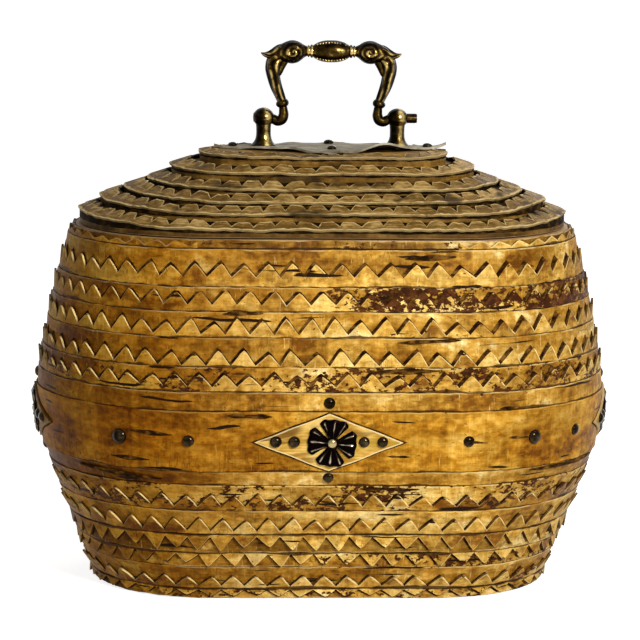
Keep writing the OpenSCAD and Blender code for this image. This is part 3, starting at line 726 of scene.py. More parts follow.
# courses whose sheets differ in shade from the rest: the toothed one, then the plain one behind it
shades = {"lower_strip_6": (smoothBark, toothBark), "lower_strip_5": (toothBark, toothBark),
          "lower_strip_4": (toothBark, wornBark), "lower_strip_1": (toothBark, toothBark)}


def stripLabel(name):
    return "".join(word.capitalize() for word in name.split("_"))


# heights and radii of a strip's straight edge and of its tips
def between(zA, rA, zB, rB):
    return {"Straight Height": zA, "Straight Radius": rA, "Tooth Height": zB, "Tooth Radius": rB}


def toothCount(radius, half, pitch):
    count = round((2 * math.pi * radius + 4 * half) / pitch)
    return {"Teeth": count, "Columns": count * strips["columnsPerTooth"]}


def flakes(share, start):
    return {"Flaked": share, "Flaked From": start}


def layPlain(label, nodes, material, seed, zA, outA, zB, outB, **more):
    layStrip(label, "root", "bark", nodes, dict(
        plainStrip, Seed=seed, Material=material, **between(zA, skinR(zA) + outA, zB, skinR(zB) + outB), **more))


# a course is a plain strip, a toothed strip over it, and a dark sheet in the crease between them: dirt, and painted
# shade round the teeth
def layCourse(name, z0, z1, up, seed, jacket=()):
    label = stripLabel(name)
    straight, free = (z0, z1) if up else (z1, z0)
    peak, notch = teeth[name]
    tip = straight + peak * (free - straight)
    bite = 1 - notch / peak
    pitch = strips["upperPitch" if name in upperStrips else "pitch"]
    torn = flakes(*flaked.get(name, (0.0, -1.0)))
    toothShade, plainShade = shades.get(name, (toothBark, smoothBark))
    toothed = dict(
        toothedStrip, **between(straight, skinR(straight) + strips["toothLow"], tip, skinR(tip) + strips["toothHigh"]),
        **toothCount(skinR(straight), spine, pitch), **torn,
        **{"Bite": bite, "Lit Flank": float(up), "Seed": seed, "Material": toothShade})
    layStrip("toothed" + label, "root", "bark", [name], toothed)
    paintedShade = strips["lowShadeDirt"] if name in lowerStrips else 1.0
    deep, shadeDirtUp = abs(tip - straight), paintedShade * strips["shadeDirtUp"]
    end = tip + (shadeDirtUp if up else -shadeDirtUp)
    layStrip("crease" + label, "root", "bark", [], dict(
        toothed, **between(straight, skinR(straight) + strips["creaseLow"], end, skinR(end) + strips["creaseHigh"]),
        **creaseStrip, Bite=bite * deep / (deep + shadeDirtUp), Slide=paintedShade * strips["shadeAside"]), soft=False)
    layPlain("plain" + label, jacket, plainShade, seed + 40, straight, strips["smoothLow"], free,
             strips["smoothHigh"], **torn)


def layBody():
    lows = [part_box(name) for name in lowerStrips]
    wornLow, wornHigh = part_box("worn_strip")
    # a border between two courses is the straight edge of whichever toothed strip lies on it
    borders = [strips["foot"]]
    for k, name in enumerate(lowerStrips[:-1]):
        if teethUp[lowerStrips[k + 1]]:
            borders.append(lows[k + 1][0].z)
        elif not teethUp[name]:
            borders.append(lows[k][1].z)
        else:
            borders.append((lows[k][1].z + lows[k + 1][0].z) / 2)
    borders.append(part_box("under_band_strip")[0].z)
    uppers = [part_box(name)[0].z for name in upperStrips] + [wornLow.z]
    for k, name in enumerate(lowerStrips):
        layCourse(name, borders[k] + strips["seam"], borders[k + 1] - strips["seam"], teethUp[name],
                  strips["seed"] + k, ["lower_jacket"] if k == 0 else [])
    for k, name in enumerate(upperStrips):
        layCourse(name, uppers[k], uppers[k + 1] - strips["seam"], True, strips["seed"] + len(lowerStrips) + k,
                  ["upper_jacket"] if k == 0 else [])
    # the worn course under the lid, its teeth broken off at the front
    straight, tip = wornLow.z, wornHigh.z
    layStrip("toothedWorn", "root", "bark", ["worn_strip"], dict(
        wornStrip, **between(straight, skinR(straight), tip, skinR(tip) + strips["wornFace"]),
        **toothCount(skinR(straight), spine, strips["pitch"])))
    layPlain("plainWorn", [], wornBark, 62, straight, strips["wornSunk"], mouthZ, strips["wornSunk"],
             **flakes(*strips["wornFlaked"]))
    for label, (node, material, seed, thick, lowOut, highOut) in bandStrips.items():
        low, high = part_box(node)
        layPlain(label, [node], material, seed, low.z, lowOut, high.z, highOut, Thickness=thick)


layBody()
print("body strips laid")

lidSteps = {
    "span": 7.7 * mm,
    "climb": [4.0 * mm] * 5 + [1.8 * mm],   # from a lip to the tips of its teeth, step by step
    "rise": [3.2 * mm, 3.0 * mm, 2.4 * mm, 1.5 * mm, 0.6 * mm, 0.0],   # how much higher a step is at its ends
    "endReach": [0.4] * 5 + [0.0],
    "overhang": 0.9 * mm,
    "pitch": 11.8 * mm,
    "shadeDirtIn": 0.6 * mm,       # the dark sheet under the teeth, dirt and painted shade, from the lip: how far in and down it starts
    "shadeDirtDown": 0.7 * mm,
    "shadeDirtDrop": 0.9 * mm,     # and how far under the tips it ends
    "gap": 1.1 * mm,          # the painted shadow under a lip: how far down and up it goes
    "shadowUp": 0.3 * mm,
    "shadowFace": 0.12 * mm,
}
treadStrip = {"Thickness": 1.2 * mm, "Bite": 0.62, "Blunt": 2.2, "Worn Tips": 0.40, "Tip Shift": 0.24,
              "Edge Wander": 0.75 * mm, "Sway": 1.2 * mm, "Material": lidBark}
treadShadeDirt = {"Thickness": 0.4 * mm, "Bite": 0.0, "Material": lidShadeAndDirt}
lipShadowStrip = {"Thickness": 0.4 * mm, "Teeth": 40, "Columns": 300, "Edge Wander": 0.5 * mm, "Material": lidShadeAndDirt}


# each step has a toothed tread, a dark sheet of dirt and painted shade under its teeth, and a painted shadow under its
# lip
def layLid():
    for k, (climb, rise, reach) in enumerate(zip(lidSteps["climb"], lidSteps["rise"], lidSteps["endReach"]), 1):
        name = "lid_tread_%d" % k
        low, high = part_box(name)
        radius, half = high.y, high.x - high.y
        lip, inner = low.z + treadStrip["Thickness"], radius - lidSteps["span"]
        tread = dict(treadStrip, **between(lip, radius + lidSteps["overhang"], lip + climb, inner),
                     **toothCount(radius, half, lidSteps["pitch"]),
                     **{"Spine": half, "End Reach": reach, "Straight Rise": rise, "Tooth Rise": rise, "Seed": 100 + k})
        layStrip("tread%d" % k, "lid", "grey_bark", [name], tread)
        layStrip("treadCrease%d" % k, "lid", "grey_bark", [], dict(
            tread, **treadShadeDirt, **between(lip - lidSteps["shadeDirtDown"], radius - lidSteps["shadeDirtIn"],
                                          lip + climb - lidSteps["shadeDirtDrop"], inner)), soft=False)
        face = radius + lidSteps["shadowFace"]
        layStrip("lipShadow%d" % k, "lid", "grey_bark", [], dict(
            lipShadowStrip, **between(low.z - lidSteps["gap"], face, low.z + lidSteps["shadowUp"], face),
            **{"Spine": half, "Tooth Rise": rise, "Seed": 130 + k}), soft=False)


layLid()
print("lid treads laid")


# a closed sheet over a grid of points: spot(i, j) gives its upper point, its lower point and then its marks
def gridSolid(name, size, spot, *marks):
    cols, rows = size
    told = [[spot(i, j) for j in range(rows)] for i in range(cols)]
    work = bmesh.new()
    layers = [work.verts.layers.float.new(mark) for mark in marks]
    up, low = [], []
    for sheet, face in ((up, 0), (low, 1)):
        for column in told:
            sheet.append([work.verts.new(points[face]) for points in column])
            for vert, points in zip(sheet[-1], column):
                for layer, value in zip(layers, points[2:]):
                    vert[layer] = value
    for sheet in (up, low):
        for i in range(cols - 1):
            for j in range(rows - 1):
                work.faces.new((sheet[i][j], sheet[i][j + 1], sheet[i + 1][j + 1], sheet[i + 1][j]))
    for i in range(cols - 1):
        for j in (0, rows - 1):
            work.faces.new((up[i][j], up[i + 1][j], low[i + 1][j], low[i][j]))
    for j in range(rows - 1):
        for i in (0, cols - 1):
            work.faces.new((up[i][j], up[i][j + 1], low[i][j + 1], low[i][j]))
    turnOut(work)
    return plainMesh(name, work)


def joinMeshes(name, meshes, materials):
    work = bmesh.new()
    for index, mesh in meshes:
        start = len(work.faces)
        work.from_mesh(mesh)
        work.faces.ensure_lookup_table()
        for face in work.faces[start:]:
            face.material_index = index
        bpy.data.meshes.remove(mesh)
    whole = plainMesh(name, work)
    for material in materials:
        whole.materials.append(material)
    return whole


sides = {"front": (0, -1), "right": (1, 0), "back": (0, 1), "left": (-1, 0)}
midBand = (bandLow.z + bandHigh.z) / 2
bandLean = math.atan2(skinR(bandHigh.z) - skinR(bandLow.z), bandHigh.z - bandLow.z)


# a point of the band's surface: t along the side, z up, d out from the strips' skin
def bandSpot(side, t, z, d):
    facing = sides[side]
    r = skinR(z) + d
    if facing[0] == 0:
        return Vector((-facing[1] * t, facing[1] * r, z))
    turn = math.asin(max(-1.0, min(1.0, t / r)))
    return Vector((facing[0] * (spine + r * math.cos(turn)), facing[0] * r * math.sin(turn), z))


plaque = {
    "long": 81 * mm, "high": 32.2 * mm, "under": 0.95 * mm, "face": 2.15 * mm, "wobble": 0.35 * mm, "curl": 0.25 * mm,
    # the dark outline round a plaque, dirt and painted shade: how far it grows, and its two faces
    "shadeDirt": 0.9 * mm, "shadeDirtUnder": 0.5 * mm, "shadeDirtFace": 1.02 * mm,
    "darkEdgeIn": 6 * mm, "darkEdgeEnd": -9 * mm, "darkEdgeFade": 14 * mm,   # a brown darkening along the front one's upper left edge
    "grid": (41, 13),
}


def layDiamond(name, side, seed, grow, under, face, curl, material, *nodes):
    drift = random.Random(seed)
    half = plaque["long"] / 2 + 2.4 * grow
    tall = plaque["high"] / 2 + grow
    waves = [drift.uniform(-1, 1) for k in range(4)]
    cols, rows = plaque["grid"]

    def spot(i, j):
        t = -half + 2 * half * i / (cols - 1)
        v = -1 + 2 * j / (rows - 1)
        room = tall * (1 - abs(t) / half)
        bend = plaque["wobble"] * math.sin(t * 260 + waves[0] * 3) * waves[1 if v > 0 else 2] * abs(v)
        z = midBand + v * room + bend * min(1.0, room / (4 * mm))
        lift = curl * math.sin(t * 170 + waves[3] * 6) * v * v
        rim = (1 - abs(v)) * room * 0.93 / mm
        along = min(1.0, max(0.0, (half + t) / plaque["darkEdgeIn"]),
                    max(0.0, (plaque["darkEdgeEnd"] - t) / plaque["darkEdgeFade"]))
        darkEdge = along * max(0.0, min(1.0, (v - 0.25) / 0.3)) if side == "front" else 0.0
        return bandSpot(side, t, z, face + lift), bandSpot(side, t, z, under), rim, darkEdge

    mesh = gridSolid(name, plaque["grid"], spot, "rim", "darkEdge")
    mesh.materials.append(material)
    addMesh(name, mesh, "root", "grey_bark", *nodes)


def makePlaque(side, seed):
    layDiamond(side + "PlaqueSheet", side, seed, 0.0, plaque["under"], plaque["face"], plaque["curl"],
               endPlaqueBark.get(side, plaqueBark), side + "_plaque")
    layDiamond(side + "PlaqueCrease", side, seed, plaque["shadeDirt"], plaque["shadeDirtUnder"], plaque["shadeDirtFace"], 0.0,
               creaseDirtAndShade)


rosette = {"reach": 13.3 * mm, "turn": -6.0, "aside": {"front": 1.6 * mm}, "off": 2.3 * mm, "plate": 1.0 * mm,
           "ridge": 0.75 * mm, "dome": 2.7 * mm, "domeRise": 1.9 * mm, "grid": (33, 14)}


# turns a shape that was made flat, facing +Z, to face outward from the band
def faceOut(side, mesh, d, aside):
    facing = sides[side]
    out = Vector((facing[0] * math.cos(bandLean), facing[1] * math.cos(bandLean), -math.sin(bandLean)))
    right = Vector((-facing[1], facing[0], 0.0))
    frameOut = Matrix((right, out.cross(right), out)).transposed().to_4x4()
    mesh.transform(Matrix.Translation(bandSpot(side, aside, midBand, d)) @ frameOut)


def revolve(name, profile, around=28, wear=None):
    work = bmesh.new()
    layer = work.verts.layers.float.new("wear")
    rings = []
    for r, z in profile:
        rings.append([])
        for k in range(around):
            turn = 2 * math.pi * k / around
            vert = work.verts.new((r * math.cos(turn), r * math.sin(turn), z))
            vert[layer] = 0.5 if wear is None else wear(r, z, turn)
            rings[-1].append(vert)
    skinRings(work, rings)
    turnOut(work)
    return plainMesh(name, work)


def makePetal(heading):
    reach, plate = rosette["reach"], rosette["plate"]
    cols, rows = rosette["grid"]
    forward = Vector((math.cos(heading), math.sin(heading), 0.0))
    sideways = Vector((-forward.y, forward.x, 0.0))

    def spot(i, j):
        u, v = -1 + 2 * i / (cols - 1), j / (rows - 1)
        lobes = 0.018 * math.cos(u * math.pi * 3.0) * v ** 4
        far = reach * (0.17 + 0.82 * v * (1 - 0.10 * u * u * v - 0.13 * u ** 6 * v) + lobes)
        wide = reach * (0.14 + 0.53 * v ** 0.88) * (1 - 0.13 * v ** 8)
        fan = u * (1 + 0.16 * (1 - u * u) * v * v)
        flat = forward * far + sideways * (fan * wide)
        ridge = max(0.0, math.cos(u * math.pi * 2.9)) ** 4 * min(1.0, 4 * v) * max(0.0, min(1.0, 7 * (0.93 - v)))
        rim = max(0.0, 1 - u * u) ** 0.5 * min(1.0, 0.4 + 4 * (1 - v))
        z = plate * (0.35 + 1.1 * rim) + rosette["ridge"] * ridge
        # the ribs are bright, as wear and as painted highlight
        return flat + Vector((0, 0, z)), flat, 0.02 + 0.85 * ridge

    return gridSolid("petal", rosette["grid"], spot, "wear")


def makeRosette(side):
    plate, dome = rosette["plate"], rosette["dome"]
    parts = [(0, makePetal(math.radians(90 * quarter + rosette["turn"]))) for quarter in range(4)]
    steps = [(dome * math.cos(a * math.pi / 14), plate + rosette["domeRise"] * math.sin(a * math.pi / 14))
             for a in range(8)]
    ring = [(dome * 1.45, 0.0), (dome * 1.45, plate * 0.9), (dome * 1.15, plate * 1.3), (dome * 1.02, plate * 0.9)]
    parts.append((0, revolve("collar", ring + [(0.0, plate * 0.9)], wear=lambda r, z, turn: 0.20)))
    parts.append((1, revolve("boss", [(dome, 0.0)] + steps,
                             wear=lambda r, z, turn: 0.55 + 0.3 * (z - plate) / (2 * mm))))
    mesh = joinMeshes(side + "Cross", parts, [rosetteIron, bossBrass])
    faceOut(side, mesh, rosette["off"], rosette["aside"].get(side, 0.0))
    addMesh(side + "Cross", mesh, "root", "iron", side + "_rosette")


for number, side in enumerate(sides):
    makePlaque(side, number + 5)
    makeRosette(side)
print("plaques and rosettes made")

# long dark dashes of the bark: their two ends, along the front and up, and their width, in millimetres
dashes = [(-110, 100.2, -85, 98.9, 2.4), (-122, 84.5, -98, 84.2, 2.2), (-56, 110.3, -31, 109.8, 2.4),
          (32, 87.6, 44, 87.3, 1.2), (99, 96.8, 116, 96.4, 1.2), (73, 96.0, 87, 94.7, 1.2), (115, 77.0, 180, 77.0, 2.2),
          (-148, 76.0, -92, 73.4, 2.2), (93, 113.6, 105, 113.9, 1.4), (-58, 164.7, -36, 165.0, 1.8),
          (37, 149.6, 72, 151.3, 1.9), (22, 134.2, 60, 134.8, 2.4), (41, 194.1, 70, 195.3, 2.4),
          (18, 68.5, 42, 68.6, 1.8)]
dashSheet = {"grid": (17, 3), "face": 1.05 * mm, "under": -0.2 * mm}


def makeDash(s0, z0, s1, z1, wide):
    def spot(i, j):
        t = i / (dashSheet["grid"][0] - 1)
        half = 0.5 * wide * min(1.0, 4 * t + 0.15, 4 * (1 - t) + 0.15) * (1 + 0.25 * math.sin(9 * t + s0))
        z = (z0 + (z1 - z0) * t + (j - 1) * half) * mm
        along = (s0 + (s1 - s0) * t) * mm
        turn = max(0.0, abs(along) - spine) / skinR(midBand)
        points = []
        for d in (dashSheet["face"], dashSheet["under"]):
            r = skinR(z) + d
            x = math.copysign(min(abs(along), spine) + r * math.sin(turn), along)
            points.append(Vector((x, -r * math.cos(turn), z)))
        return points

    return gridSolid("dash", dashSheet["grid"], spot)


dashMesh = joinMeshes("barkDashes", [(0, makeDash(*dash)) for dash in dashes], [creaseDirtAndShade])
addMesh("barkDashes", dashMesh, "root", "bark")
print("dashes laid")


# the separate solids of a CAD node, as lists of their corners
def solidsOf(name):
    mesh = frame["nodes"][name].data
    joined, corner = {}, []
    for vert in mesh.vertices:
        key = tuple(round(c, 6) for c in vert.co)
        corner.append(joined.setdefault(key, len(joined)))
    owner = list(range(len(joined)))

    def root(k):
        while owner[k] != k:
            owner[k] = owner[owner[k]]
            k = owner[k]
        return k

    for face in mesh.polygons:
        first = root(corner[face.vertices[0]])
        for k in face.vertices[1:]:
            owner[root(corner[k])] = first
    groups = {}
    for key, k in joined.items():
        groups.setdefault(root(k), []).append(Vector(key))
    return list(groups.values())


# one node tree sets a row of domed studs on points that face outward
def makeStudTree():
    tree, given = newTree("studs", {"Diameter": 6 * mm, "Rise": 2 * mm})
    ball = addNode(tree, "GeometryNodeMeshUVSphere", {"Segments": 18, "Rings": 10, "Radius": 1.0}).outputs["Mesh"]
    half = mul(tree, given["Diameter"], 0.5)
    shape = addNode(tree, "GeometryNodeTransform", {
        "Geometry": ball, "Scale": joinXyz(tree, half, half, given["Rise"])})
    facing = addNode(tree, "GeometryNodeInputNamedAttribute", {"Name": "facing"}, data_type="FLOAT_VECTOR").outputs[0]
    turned = addNode(tree, "FunctionNodeAlignRotationToVector", {"Vector": facing}, axis="Z").outputs[0]
    size = addNode(tree, "FunctionNodeRandomValue", {2: 0.94, 3: 1.06, "Seed": 4}, data_type="FLOAT").outputs[1]
    points = addNode(tree, "GeometryNodeMeshToPoints", {"Mesh": given["Geometry"]}).outputs[0]
    placed = addNode(tree, "GeometryNodeInstanceOnPoints", {
        "Points": points, "Instance": shape.outputs[0], "Rotation": turned, "Scale": size}).outputs[0]
    return endTree(tree, placed, given["Material"])


studTree = makeStudTree()


def makeStuds(name, spots, diameter, rise, material):
    start = bpy.data.meshes.new(name + "Points")
    start.from_pydata([spot for spot, facing in spots], [], [])
    mark = start.attributes.new("facing", "FLOAT_VECTOR", "POINT")
    for k, (spot, facing) in enumerate(spots):
        mark.data[k].vector = facing
    return runTree(name, studTree, start, {"Diameter": diameter, "Rise": rise, "Material": material})


# the body each kind of nail is in, the diameter of its head and the head's rise as a share of that
nails = {"small_nails": ("root", 6.3 * mm, 0.34), "large_nails": ("root", 8.4 * mm, 0.34),
         "top_plate_nails": ("lid", 5.6 * mm, 0.28)}


def makeNails():
    for node, (body, diameter, dome) in nails.items():
        spots = []
        for corners in solidsOf(node):
            middle = sum(corners, Vector()) / len(corners)
            aim = Vector((0, 0, 1))
            if body == "root":
                aim = Vector((middle.x - max(-spine, min(spine, middle.x)), middle.y, 0.0)).normalized()
            reach = [corner.dot(aim) for corner in corners]
            tip = corners[reach.index(max(reach))]
            ends = [corner for corner, far in zip(corners, reach) if far < min(reach) + 1.0 * mm]
            facing = (tip - sum(ends, Vector()) / len(ends)).normalized()
            spots.append((tip - facing * (dome - 0.02) * diameter, facing))
        label = stripLabel(node)
        mesh = makeStuds("heads" + label, spots, diameter, dome * diameter, nailIron)
        addMesh("heads" + label, mesh, body, "iron", node)


makeNails()
print("nails driven")

plate = {"reach": 66 * mm, "half": 31 * mm, "thick": 1.2 * mm, "under": 1.0 * mm, "wave": 1.1 * mm, "ripple": 0.45 * mm,
         "flat": 27 * mm, "droop": 1.6 * mm, "lift": 1.5 * mm, "rightCurl": 3.0 * mm, "leftCurl": 1.0 * mm,
         "grid": (61, 15)}


def makeTopPlate():
    low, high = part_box("top_plate")
    middle = (low.x + high.x) / 2
    drift = random.Random(8)
    waves = [drift.uniform(0, 6) for k in range(3)]
    cols, rows = plate["grid"]

    # the sheet's upper and lower point, then those of the painted shadow under it
    def spots(i, j):
        t, v = -1 + 2 * i / (cols - 1), -1 + 2 * j / (rows - 1)
        x = middle + plate["reach"] * t
        room = plate["half"] * (1 - abs(t)) ** 0.92
        wave = math.sin(t * 13 + waves[0]) + math.sin(t * 31 + waves[1])
        y = v * room + plate["wave"] * wave * abs(v) * (1 - abs(t))
        past = max(0.0, abs(y) - plate["flat"]) / (4 * mm)
        bed = low.z - plate["droop"] * past ** 1.5
        z = bed + plate["ripple"] * math.sin(t * 17 + waves[2]) * v * v
        z += plate["rightCurl"] * max(0.0, (t - 0.80) / 0.20) ** 2
        z += plate["leftCurl"] * max(0.0, (-t - 0.86) / 0.14) ** 2
        # the front edge stands up on both sides of the handle, more on the right
        hump = math.sin(math.pi * min(1.0, max(0.0, abs(t) - 0.12) / 0.7)) ** 2
        z += plate["lift"] * (2.4 if t > 0 else 1.0) * max(0.0, -v) * hump
        paintedShade = Vector((x, y * 1.10, bed + 0.1 * mm))
        return Vector((x, y, z + plate["thick"])), Vector((x, y, z)), paintedShade, paintedShade - Vector((0, 0, plate["under"]))

    sheet = gridSolid("topSheet", plate["grid"], lambda i, j: spots(i, j)[:2])
    sheet.materials.append(plateSkin)
    addMesh("topSheet", sheet, "lid", "grey_bark", "top_plate")
    shadow = gridSolid("topSheetCrease", plate["grid"], lambda i, j: spots(i, j)[2:])
    shadow.materials.append(lidShadeAndDirt)
    addMesh("topSheetCrease", shadow, "lid", "grey_bark")


makeTopPlate()

pivot = Vector(next(j["pos_m"] for j in frame["record"]["behaviour"]["joints"] if j["name"] == "handle_swing"))
leftLow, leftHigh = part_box("left_post")
rightLow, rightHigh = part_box("right_post")
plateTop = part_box("top_plate")[1].z
postX = (rightLow.x + rightHigh.x - leftLow.x - leftHigh.x) / 4


# a smooth curve through points, with so many parts from one to the next
def smoothPath(points, parts):
    made = []
    for k in range(len(points) - 1):
        a, b = points[k], points[k + 1]
        before = points[k - 1] if k else a
        after = points[k + 2] if k + 2 < len(points) else b
        for n in range(parts):
            t = n / parts
            made.append(tuple(0.5 * (2 * q + (r - p) * t + (2 * p - 5 * q + 4 * r - s) * t * t
                                     + (3 * q - p - 3 * r + s) * t ** 3)
                              for p, q, r, s in zip(before, a, b, after)))
    made.append(tuple(points[-1]))
    return made


# a bar through points of x, z and radius in the plane of the bail, in millimetres from the pivot
def castBar(name, points, carve=None, around=24, parts=5, mirror=1, shine=0.08):
    path = smoothPath(points, parts)
    work = bmesh.new()
    layer = work.verts.layers.float.new("wear")
    rings = []
    for k, (x, z, r) in enumerate(path):
        before, after = path[max(0, k - 1)], path[min(len(path) - 1, k + 1)]
        heading = Vector((after[0] - before[0], 0, after[1] - before[1])).normalized()
        lateral = Vector((heading.z, 0, -heading.x))
        ring = []
        for n in range(around):
            turn = 2 * math.pi * n / around
            raised = carve(turn, k / (len(path) - 1)) if carve else 0.0
            far = max(0.05, r) * (1 + raised)
            spot = Vector((x, 0, z)) + lateral * far * math.cos(turn) + Vector((0, far * math.sin(turn), 0))
            vert = work.verts.new(pivot + Vector((spot.x * mirror, spot.y, spot.z)) * mm)
            # painted highlight on the front and back of each bar; raised carving is worn bright
            vert[layer] = shine + 0.34 * abs(math.sin(turn)) ** 4 + 4.2 * raised
            ring.append(vert)
        rings.append(ring)
    skinRings(work, rings)
    turnOut(work)
    return plainMesh(name, work)


# a shallow spiral on the front and on the back
def scrolls(turn, t):
    a, b = 6.5 * ((turn % math.pi) - math.pi / 2), 17 * (t - 0.5)
    far = math.hypot(a, b)
    return 0.07 * math.cos(far * 2.3 + math.atan2(a, b)) * max(0.0, 1 - far / 10)


def flutes(turn, t):
    return 0.075 * math.cos(6 * turn + 1.2 * math.sin(9 * t))


# the bail's bars, as points of x, drop below the line of its grip, and radius, in millimetres
bail = {
    "barrel": [(-10.4, 0, 3.2), (-9.6, 0, 3.9), (-7.2, 0, 5.2), (-3.8, 0, 6.1), (0.0, 0, 6.3), (3.8, 0, 6.1),
               (7.2, 0, 5.2), (9.6, 0, 3.9), (10.4, 0, 3.2)],
    "ring": [(9.8, 0, 2.9), (10.5, 0, 3.1), (10.6, 0, 3.7), (11.7, 0, 3.7), (11.9, 0, 2.9), (12.4, 0, 2.9),
             (12.6, 0, 3.4), (13.3, 0, 3.4), (13.5, 0, 2.8), (15.0, 0, 2.7)],
    "bulb": [(13.8, 0, 2.9), (15.4, 0, 3.7), (17.6, 0.1, 5.3), (20.2, 0.3, 6.4), (23.0, 0.6, 6.6), (26.2, 1.2, 5.8),
             (29.2, 2.2, 4.6), (31.6, 3.4, 3.2)],
    "leaf": [(25.0, 0.2, 4.6), (29.0, 0.6, 4.1), (32.4, 1.6, 3.1), (35.4, 2.2, 2.1), (37.8, 2.0, 1.2),
             (39.8, 1.1, 0.3)],
    "leg": [(29.6, 3.6, 3.6), (31.8, 6.0, 4.6), (32.9, 9.8, 4.2), (32.6, 14.2, 3.6), (31.2, 19.6, 3.2),
            (29.2, 24.6, 2.8), (27.8, 28.0, 2.5)],
    "bead": [(28.4, 27.2, 1.6), (28.0, 28.2, 3.2), (27.5, 29.6, 3.75), (27.2, 31.0, 3.2), (27.0, 32.0, 1.8)],
    "elbow": [(27.1, 31.2, 2.3), (26.8, 33.8, 2.6), (26.7, 36.2, 2.9), (27.6, 38.6, 3.0), (30.0, 39.6, 2.9),
              (32.4, 38.6, 2.75), (34.6, 37.7, 2.7)],
    "knob": [(26.4, 5.0, 2.6), (28.2, 8.6, 2.3), (29.2, 11.6, 1.9), (29.5, 13.4, 1.3), (29.6, 14.3, 0.4)],
}
grip = {"up": 37.6, "pinPast": {-1: 5.6, 1: 10.6}, "pinR": 2.75, "shine": {"ring": 0.42},
        "carved": {"bulb": scrolls, "leaf": flutes, "leg": flutes},
        "beadRows": (38, 142, 218, 322), "beadStep": 1.6, "beadWide": 1.25 * mm, "beadRise": 0.7 * mm}


def makeBail():
    top = grip["up"]
    bars = {label: [(x, top - drop, r) for x, drop, r in points] for label, points in bail.items()}
    parts = [castBar("barrel", bars["barrel"])]
    for m in (-1, 1):
        far, r = postX / mm + grip["pinPast"][m], grip["pinR"]
        bars["pin"] = [(33.0, 0.0, r), (36.0, 0.0, r), (far - 0.5, 0.0, r), (far, 0.0, r - 0.4)]
        for label in ("ring", "bulb", "leaf", "leg", "bead", "elbow", "pin", "knob"):
            carve = grip["carved"].get(label)
            fine = 2 if label in ("ring", "pin") else 8
            parts.append(castBar(label, bars[label], carve, 40 if carve else 20, fine, m,
                                 grip["shine"].get(label, 0.08)))
    mesh = joinMeshes("castBail", [(0, part) for part in parts], [wornBrass])
    addMesh("castBail", mesh, "handle", "brass", "bail")
    # two beaded lines along the front of the barrel, and two along its back
    spots = []
    for turn in grip["beadRows"]:
        for k in range(-5, 6):
            x = k * grip["beadStep"]
            r = 6.25 - 0.021 * x * x
            facing = Vector((0, -math.cos(math.radians(turn - 90)), math.sin(math.radians(turn - 90))))
            spots.append((pivot + Vector((x, facing.y * r, top + facing.z * r)) * mm, facing))
    beads = makeStuds("barrelBeads", spots, grip["beadWide"], grip["beadRise"], beadBrass)
    addMesh("barrelBeads", beads, "handle", "brass")


# a post's foot as radii and heights, its neck as radii and drops below the pivot, its ball and its bolt, in millimetres
posts = {"foot": [(0.0, 0.1), (6.9, 0.1), (7.0, 0.7), (6.6, 1.2), (5.6, 2.2), (4.7, 3.8), (4.25, 5.6), (4.15, 7.6)],
         "neck": [(4.2, 6.0), (4.3, 4.8)], "ballWide": 6.1, "ballHigh": 5.6, "bolt": 2.4, "boltUp": 1.0}


# painted highlight: a bright stripe on the front right and the back left of each post, a little more on the foot
def postHighlight(r, z, turn):
    return 0.10 + 0.60 * abs(math.sin(turn - 0.45)) ** 8 + 0.04 * (r > 5 * mm)


def makePosts():
    rise = (pivot.z - plateTop) / mm
    profile = posts["foot"] + [(r, rise - drop) for r, drop in posts["neck"]]
    profile += [(posts["ballWide"] * math.cos(a * math.pi / 24), rise + posts["ballHigh"] * math.sin(a * math.pi / 24))
                for a in range(-6, 13)]
    thin, end = posts["bolt"] * mm, plateTop + posts["boltUp"] * mm
    for side, label, node in ((-1, "leftTurnedPost", "left_post"), (1, "rightTurnedPost", "right_post")):
        mesh = revolve(label, [(r * mm, z * mm) for r, z in profile], 40, postHighlight)
        mesh.transform(Matrix.Translation((pivot.x + side * postX, 0.0, plateTop)))
        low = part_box(node)[0].z
        bolt = revolve("bolt", [(0, low), (thin, low), (thin, end), (0, end)], 20)
        bolt.transform(Matrix.Translation((pivot.x + side * postX, 0.0, 0.0)))
        addMesh(label, joinMeshes(label, [(0, mesh), (0, bolt)], [wornBrass]), "lid", "brass", node)


makeBail()
makePosts()
print("handle cast")


# finishes of the CAD nodes that stay in sight
def dressNode(material, *names):
    for name in names:
        piece = frame["nodes"][name]
        piece.data.materials.clear()
        piece.data.materials.append(material)


dressNode(innerWood, "base_board", "wall", "mouth_hoop")
dressNode(boardBark, "lid_board")
dressNode(riserBark, *["lid_step_%d" % k for k in range(2, 7)])
dressNode(nailIron, "hinge_body_screws", "hinge_lid_screws", "hinge_pins", "post_nuts")
dressNode(plainBrass, "hinge_body_leaves", "hinge_lid_leaves")
print("CAD nodes dressed")

studio = {"floor": (0.82, 0.82, 0.82), "floorSize": 12.0, "floorGlow": 0.84, "world": 0.15}
# where each lamp stands, what it is aimed at, its size and its power
lamps = {
    "keyLamp": ((0.42, -0.84, 0.62), (0, 0, 0.14), 0.28, 12.0),
    "fillLamp": ((-1.1, -1.1, 0.5), (0, 0, 0.12), 1.0, 0.3),
    "topLamp": ((0.3, -0.1, 1.5), (0, 0, 0.1), 0.7, 2.6),
    "backLamp": ((0.6, 1.3, 0.8), (0, 0, 0.12), 0.8, 4.0),
}


# 1 for what the camera sees straight, or in metal or glass
def seenRays(tree):
    path = addNode(tree, "ShaderNodeLightPath").outputs
    indirect = calc(tree, "MAXIMUM", path["Is Glossy Ray"], path["Is Transmission Ray"])
    return calc(tree, "MAXIMUM", path["Is Camera Ray"], indirect)


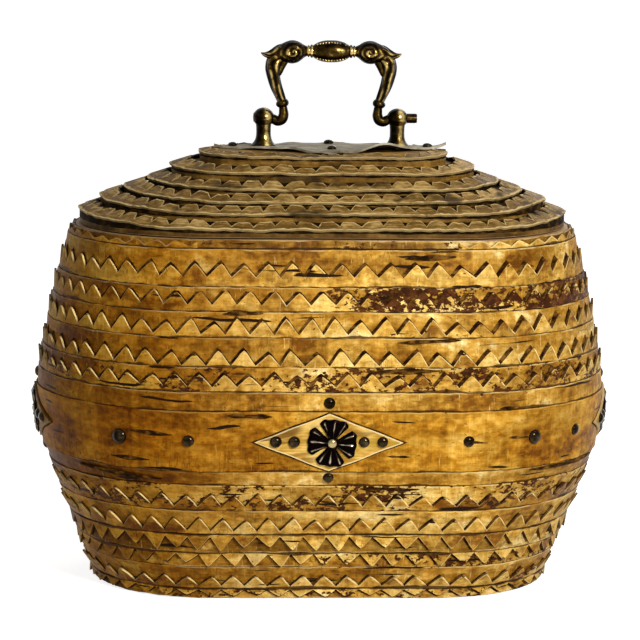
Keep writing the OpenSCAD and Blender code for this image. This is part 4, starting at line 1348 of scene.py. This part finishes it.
# the floor is white to the camera but keeps the box's shadow
def makeFloor():
    work = bmesh.new()
    bmesh.ops.create_grid(work, x_segments=1, y_segments=1, size=studio["floorSize"])
    mesh = plainMesh("floor", work)
    floor = putIn("floor", mesh)
    material, tree, shader = newMaterial("floorWhite")
    shader.inputs["Base Color"].default_value = (*studio["floor"], 1.0)
    shader.inputs["Roughness"].default_value = 0.9
    shader.inputs["Emission Color"].default_value = (1.0, 1.0, 1.0, 1.0)
    tree.links.new(mul(tree, seenRays(tree), studio["floorGlow"]), shader.inputs["Emission Strength"])
    mesh.materials.append(material)


def addLamp(name, place, target, size, power):
    lamp = bpy.data.lights.new(name, "AREA")
    lamp.size = size
    lamp.energy = power
    holder = putIn(name, lamp)
    holder.location = place
    holder.rotation_euler = (Vector(target) - Vector(place)).to_track_quat("-Z", "Y").to_euler()


def makeWorld():
    world = bpy.data.worlds.new("studio")
    bpy.context.scene.world = world
    world.use_nodes = True
    tree = world.node_tree
    back = tree.nodes["Background"]
    level = add(tree, studio["world"], mul(tree, seenRays(tree), 1.0 - studio["world"]))
    back.inputs["Color"].default_value = (1.0, 1.0, 1.0, 1.0)
    tree.links.new(level, back.inputs["Strength"])


makeFloor()
makeWorld()
for name, values in lamps.items():
    addLamp(name, *values)

shot = {"azimuth": -3.0, "distance": 1.600, "height": 0.3977, "pitch": 8.9, "lens": 158.7, "shiftX": -0.0016,
        "roll": 0.7}


def makeCamera():
    lens = bpy.data.cameras.new("camera")
    lens.lens = shot["lens"]
    lens.sensor_width = 36.0
    lens.shift_x = shot["shiftX"]
    camera = putIn("camera", lens)
    turn = math.radians(shot["azimuth"])
    camera.location = (math.sin(turn) * shot["distance"], -math.cos(turn) * shot["distance"], shot["height"])
    aim = Matrix.Rotation(turn, 4, "Z") @ Matrix.Rotation(math.radians(90 - shot["pitch"]), 4, "X")
    camera.rotation_euler = (aim @ Matrix.Rotation(math.radians(shot["roll"]), 4, "Z")).to_euler()
    bpy.context.scene.camera = camera


makeCamera()
bpy.context.scene.view_settings.view_transform = "Standard"
print("studio ready")
